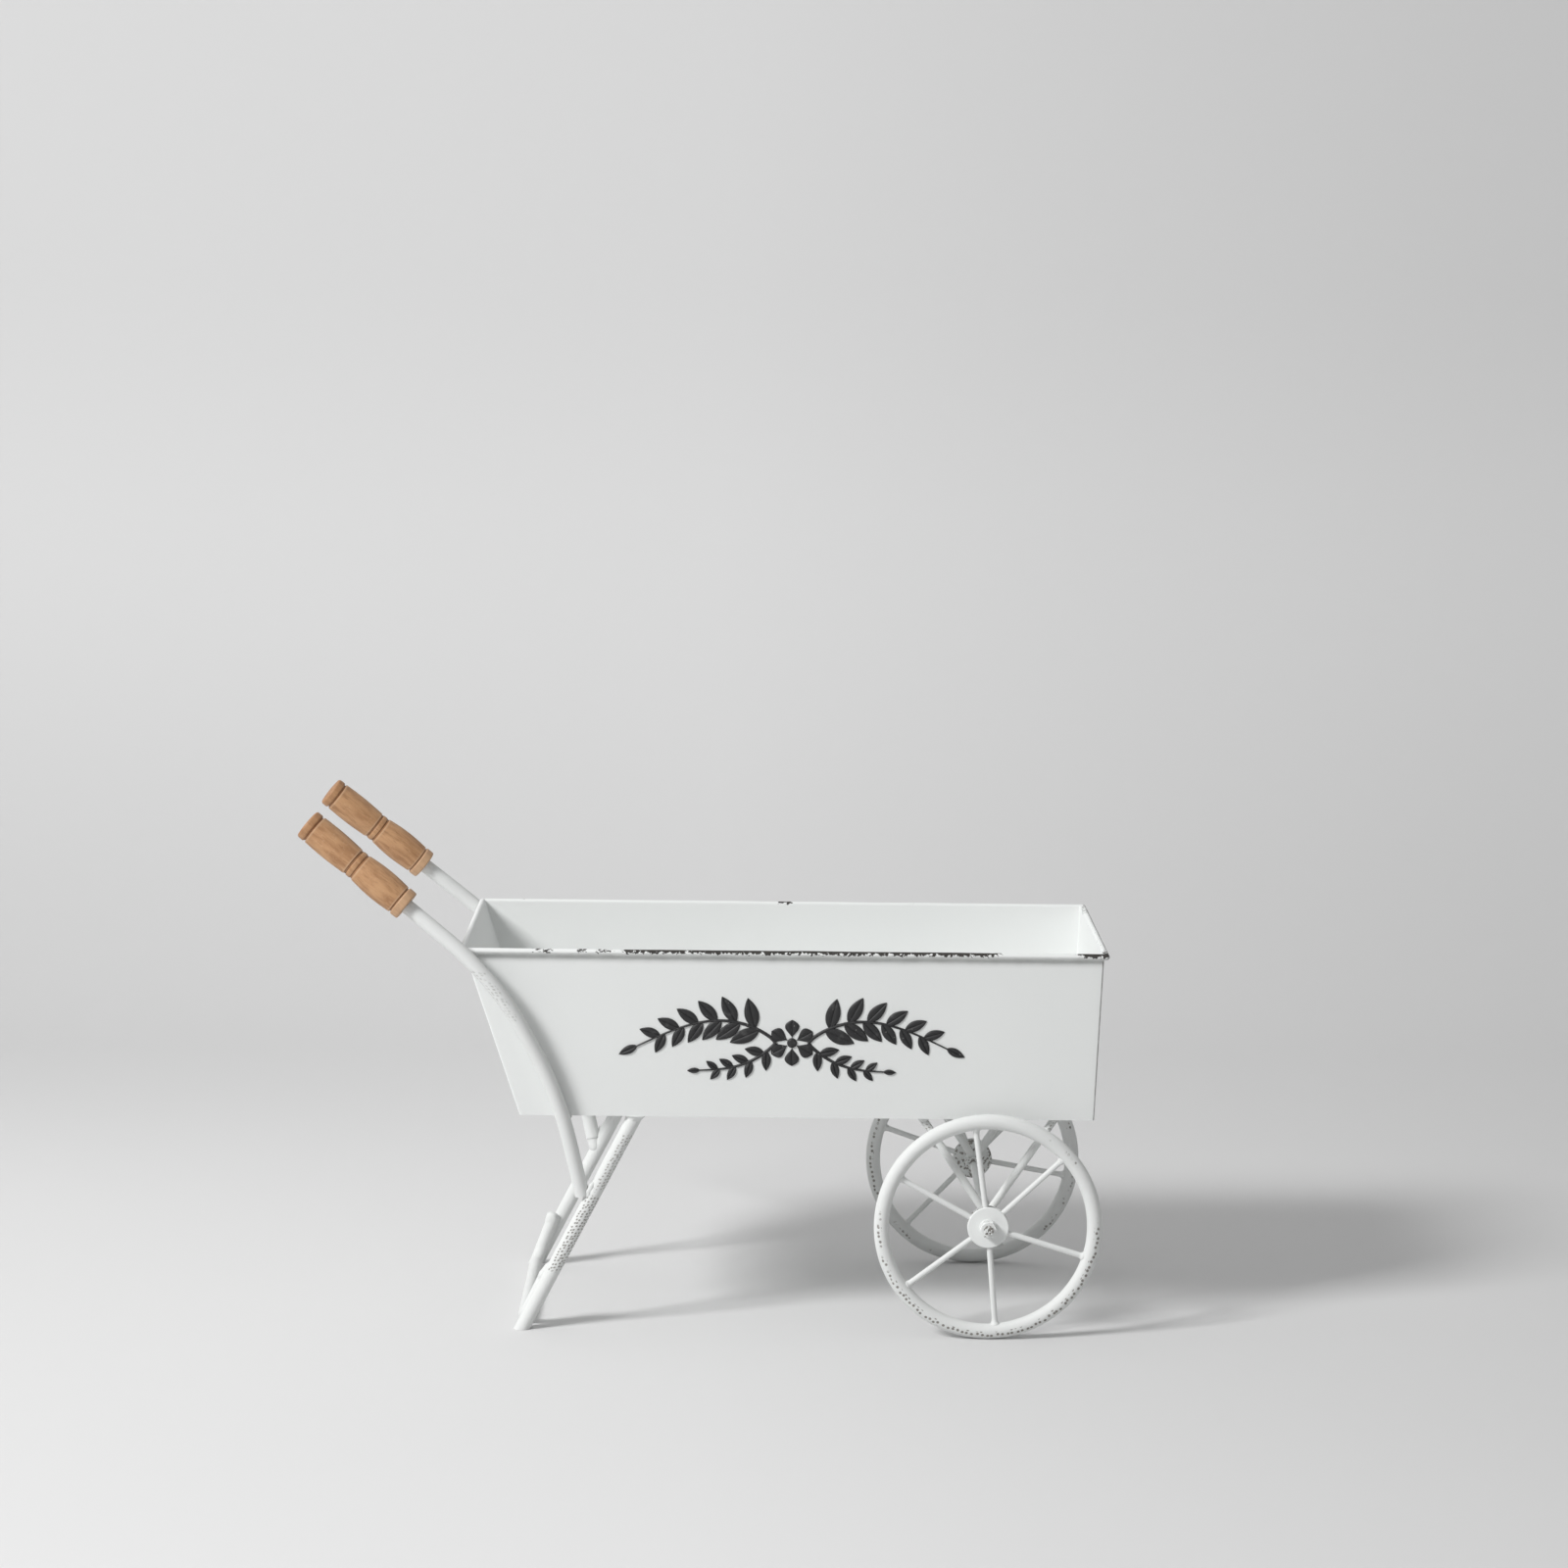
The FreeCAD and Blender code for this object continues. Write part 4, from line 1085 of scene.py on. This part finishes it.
def stem(skin, route, width):
    """A tapering stalk along a list of places on the wall."""
    loops = []
    for index, spot in enumerate(route):
        ahead = route[min(index + 1, len(route) - 1)] - route[max(index - 1, 0)]
        aside = Vector((-ahead.y, ahead.x)).normalized()
        half = width / 2 * mixed(1, 0.35, index / (len(route) - 1))
        loop = []
        for turn in steps(9, 0, math.pi):
            place = spot + aside * (half * math.cos(turn))
            loop.append(on_wall(place.x, place.y, SPRIG_HEIGHT * 0.8 * math.sin(turn)))
        for side in (-1, 1):
            place = spot + aside * (half * side)
            loop.append(on_wall(place.x, place.y, -SPRIG_SUNK))
        loops.append(loop)
    skin.add(loops)


def dome(skin, radius, height):
    """A low round boss on the wall, in the sprig's middle."""
    outline = ((-SPRIG_SUNK, 1), (height * 0.45, 1), (height * 0.8, 0.8), (height, 0.45), (height, 0.05))
    loops = []
    for level, share in outline:
        reach = radius * share
        turns = steps(25, 0, 2 * math.pi)[:-1]
        loops.append([on_wall(reach * math.cos(turn), reach * math.sin(turn), level) for turn in turns])
    skin.add(loops)


def branch(skin, mirror, reach, arch, drop, pairs, leaf_length, leaf_width):
    """A branch that leaves the flower to one side, arches, and carries pairs of leaves and a last one."""
    def spot(share):
        x = STEM_START + (reach - STEM_START) * share
        return Vector((mirror * x, arch * math.sin(math.pi * share ** 0.8) + drop * share))

    stem(skin, [spot(share) for share in steps(28)], STEM_WIDTH)
    for number in range(pairs):
        share = 0.12 + 0.8 * number / pairs
        ahead = spot(share + 0.02) - spot(share)
        heading = math.atan2(ahead.y, ahead.x)
        shrink = mixed(1, 0.55, share)
        for side in (-1, 1):
            lean = mirror * side * math.radians(mixed(52, 38, share))
            start = spot(share + (0.03 if side > 0 else 0.0))
            leaf(skin, start, heading + lean, leaf_length * shrink, leaf_width * shrink)
    ahead = spot(1) - spot(0.97)
    heading = math.atan2(ahead.y, ahead.x)
    leaf(skin, spot(0.98), heading, leaf_length * 0.6, leaf_width * 0.55)


def make_sprig():
    skin = Skin()
    for mirror in (-1, 1):
        for shape in SPRIG_BRANCHES:
            branch(skin, mirror, *shape)
    for number in range(PETALS):
        heading = math.radians(90) + 2 * math.pi * number / PETALS
        start = Vector((math.cos(heading), math.sin(heading))) * PETAL_START
        leaf(skin, start, heading, PETAL_LENGTH, PETAL_WIDTH, fullest=0.62)
    dome(skin, FLOWER_HEART_RADIUS, SPRIG_HEIGHT * 1.2)
    skin.piece("embossed_sprig", black_paint("sprig_paint"), "barrow", "enamel", sharp_degrees=60)


# Studio: a pale sweep, soft light from the front left, and the camera

FLOOR_Z = -0.0001
SWEEP_START_Y = 0.95
SWEEP_RADIUS = 0.7
SWEEP_NEAR_Y = -5.0
SWEEP_HEIGHT = 4.0
SWEEP_HALF_WIDTH = 6.0
SWEEP_COLUMNS = 24
# Tones of the floor, the bend and the wall behind, as places from left to right and levels: painted light
# and shade across the paper, with the bend painted darker
FLOOR_TONES = [(0, 0.706), (0.5, 0.722), (1, 0.625)]
BEND_TONES = [(0, 0.61), (0.5, 0.69), (1, 0.645)]
WALL_TONES = [(0, 0.718), (0.5, 0.774), (1, 0.738)]
TONES_HALF_WIDTH = 0.8
BEND_TONE_Y = 0.2
WALL_TONE_Z = 0.5
LAMP_TARGET = Vector((0.1, 0, 0.15))
LAMP_TOWARDS = Vector((-1.11, -0.85, 1.0)).normalized()
LAMP_DISTANCE = 5
LAMP_SIZE = 1.2
LAMP_POWER = 203
# The air's strength straight above, and what is seen of it beyond the sweep
AIR_STRENGTH = 0.67
SEEN_AIR = 0.6


def make_sweep():
    """A floor that curves up into a backdrop, its tone drifting from left to right and with distance as
    painted light and shade.
    """
    section = [(y, FLOOR_Z) for y in steps(24, SWEEP_NEAR_Y, SWEEP_START_Y)]
    for turn in steps(16, 0, math.pi / 2)[1:]:
        section.append((
            SWEEP_START_Y + SWEEP_RADIUS * math.sin(turn),
            FLOOR_Z + SWEEP_RADIUS * (1 - math.cos(turn)),
        ))
    section.append((SWEEP_START_Y + SWEEP_RADIUS, SWEEP_HEIGHT))
    columns = steps(SWEEP_COLUMNS + 1, -SWEEP_HALF_WIDTH, SWEEP_HALF_WIDTH)
    points = [(x, y, z) for x in columns for y, z in section]
    count = len(section)
    faces = []
    for column in range(SWEEP_COLUMNS):
        for row in range(count - 1):
            here = column * count + row
            there = here + count
            faces.append((here, there, there + 1, here + 1))
    mesh = bpy.data.meshes.new("studio_sweep")
    mesh.from_pydata(points, [], faces)
    mesh.shade_smooth()
    graph = Graph(bpy.data.materials.new("studio_paper"))
    place = graph.split(graph.coords)
    sideways = graph.stretch(place["X"], -TONES_HALF_WIDTH, TONES_HALF_WIDTH, kind="LINEAR")
    backwards = graph.stretch(place["Y"], BEND_TONE_Y, SWEEP_START_Y)
    upwards = graph.stretch(place["Z"], 0, WALL_TONE_Z)
    floor_tone, bend_tone, wall_tone = (
        graph.ramp(sideways, tones) for tones in (FLOOR_TONES, BEND_TONES, WALL_TONES)
    )
    # Painted light and shade on the paper, with a darker bend
    tone = graph.mix(upwards, graph.mix(backwards, floor_tone, bend_tone), wall_tone)
    # From behind the backdrop lets the camera through
    seen = graph.add("LightPath").outputs["Is Camera Ray"]
    behind = graph.product(seen, graph.add("NewGeometry").outputs["Backfacing"])
    solid = graph.minus(1, behind)
    graph.set(Base_Color=tone, Roughness=0.95, Specular_IOR_Level=0.1, Alpha=solid)
    mesh.materials.append(graph.owner)
    sweep = new_object("studio_sweep", mesh)


def make_light():
    lamp = bpy.data.lights.new("softbox", "AREA")
    lamp.size = LAMP_SIZE
    lamp.energy = LAMP_POWER
    softbox = new_object("softbox", lamp)
    softbox.location = LAMP_TARGET + LAMP_TOWARDS * LAMP_DISTANCE
    softbox.rotation_euler = LAMP_TOWARDS.to_track_quat("Z", "Y").to_euler()
    world = bpy.data.worlds.new("studio_air")
    graph = Graph(world, "Background", "Generated")
    brightness = graph.stretch(graph.split(graph.coords)["Z"], 0, 1, 0, AIR_STRENGTH, kind="LINEAR")
    # What is seen of it beyond the sweep, straight or in a reflection, is an even pale grey
    path = graph.add("LightPath").outputs
    seen = graph.maths("MAXIMUM", path["Is Camera Ray"], path["Is Glossy Ray"])
    strength = graph.add("Mix", {"Factor": seen, "A": brightness, "B": SEEN_AIR}).outputs["Result"]
    graph.set(Color=WHITE, Strength=strength)
    bpy.context.scene.world = world


CAMERA_PLACE = Vector((0.03814, -3.01276, 0.74958))
CAMERA_YAW = 0.006158
CAMERA_PITCH = -0.125479
CAMERA_ROLL = 0.011116
CAMERA_LENS_MM = 99.0
CAMERA_SENSOR_MM = 36.0


def make_camera():
    """The camera, which looks along +Y before it is turned, pitched and rolled."""
    turned = Matrix.Rotation(-CAMERA_YAW, 4, "Z")
    pitched = Matrix.Rotation(math.pi / 2 + CAMERA_PITCH, 4, "X")
    rolled = Matrix.Rotation(CAMERA_ROLL, 4, "Z")
    view = bpy.data.cameras.new("camera")
    view.lens = CAMERA_LENS_MM
    view.sensor_width = CAMERA_SENSOR_MM
    camera = new_object("camera", view)
    camera.matrix_world = Matrix.Translation(CAMERA_PLACE) @ turned @ pitched @ rolled
    bpy.context.scene.camera = camera


paint_nodes()
make_walls()
make_grips()
make_welds()
make_wheel_welds()
make_threads()
make_sprig()
make_sweep()
make_light()
make_camera()
bpy.context.scene.view_settings.view_transform = "Standard"
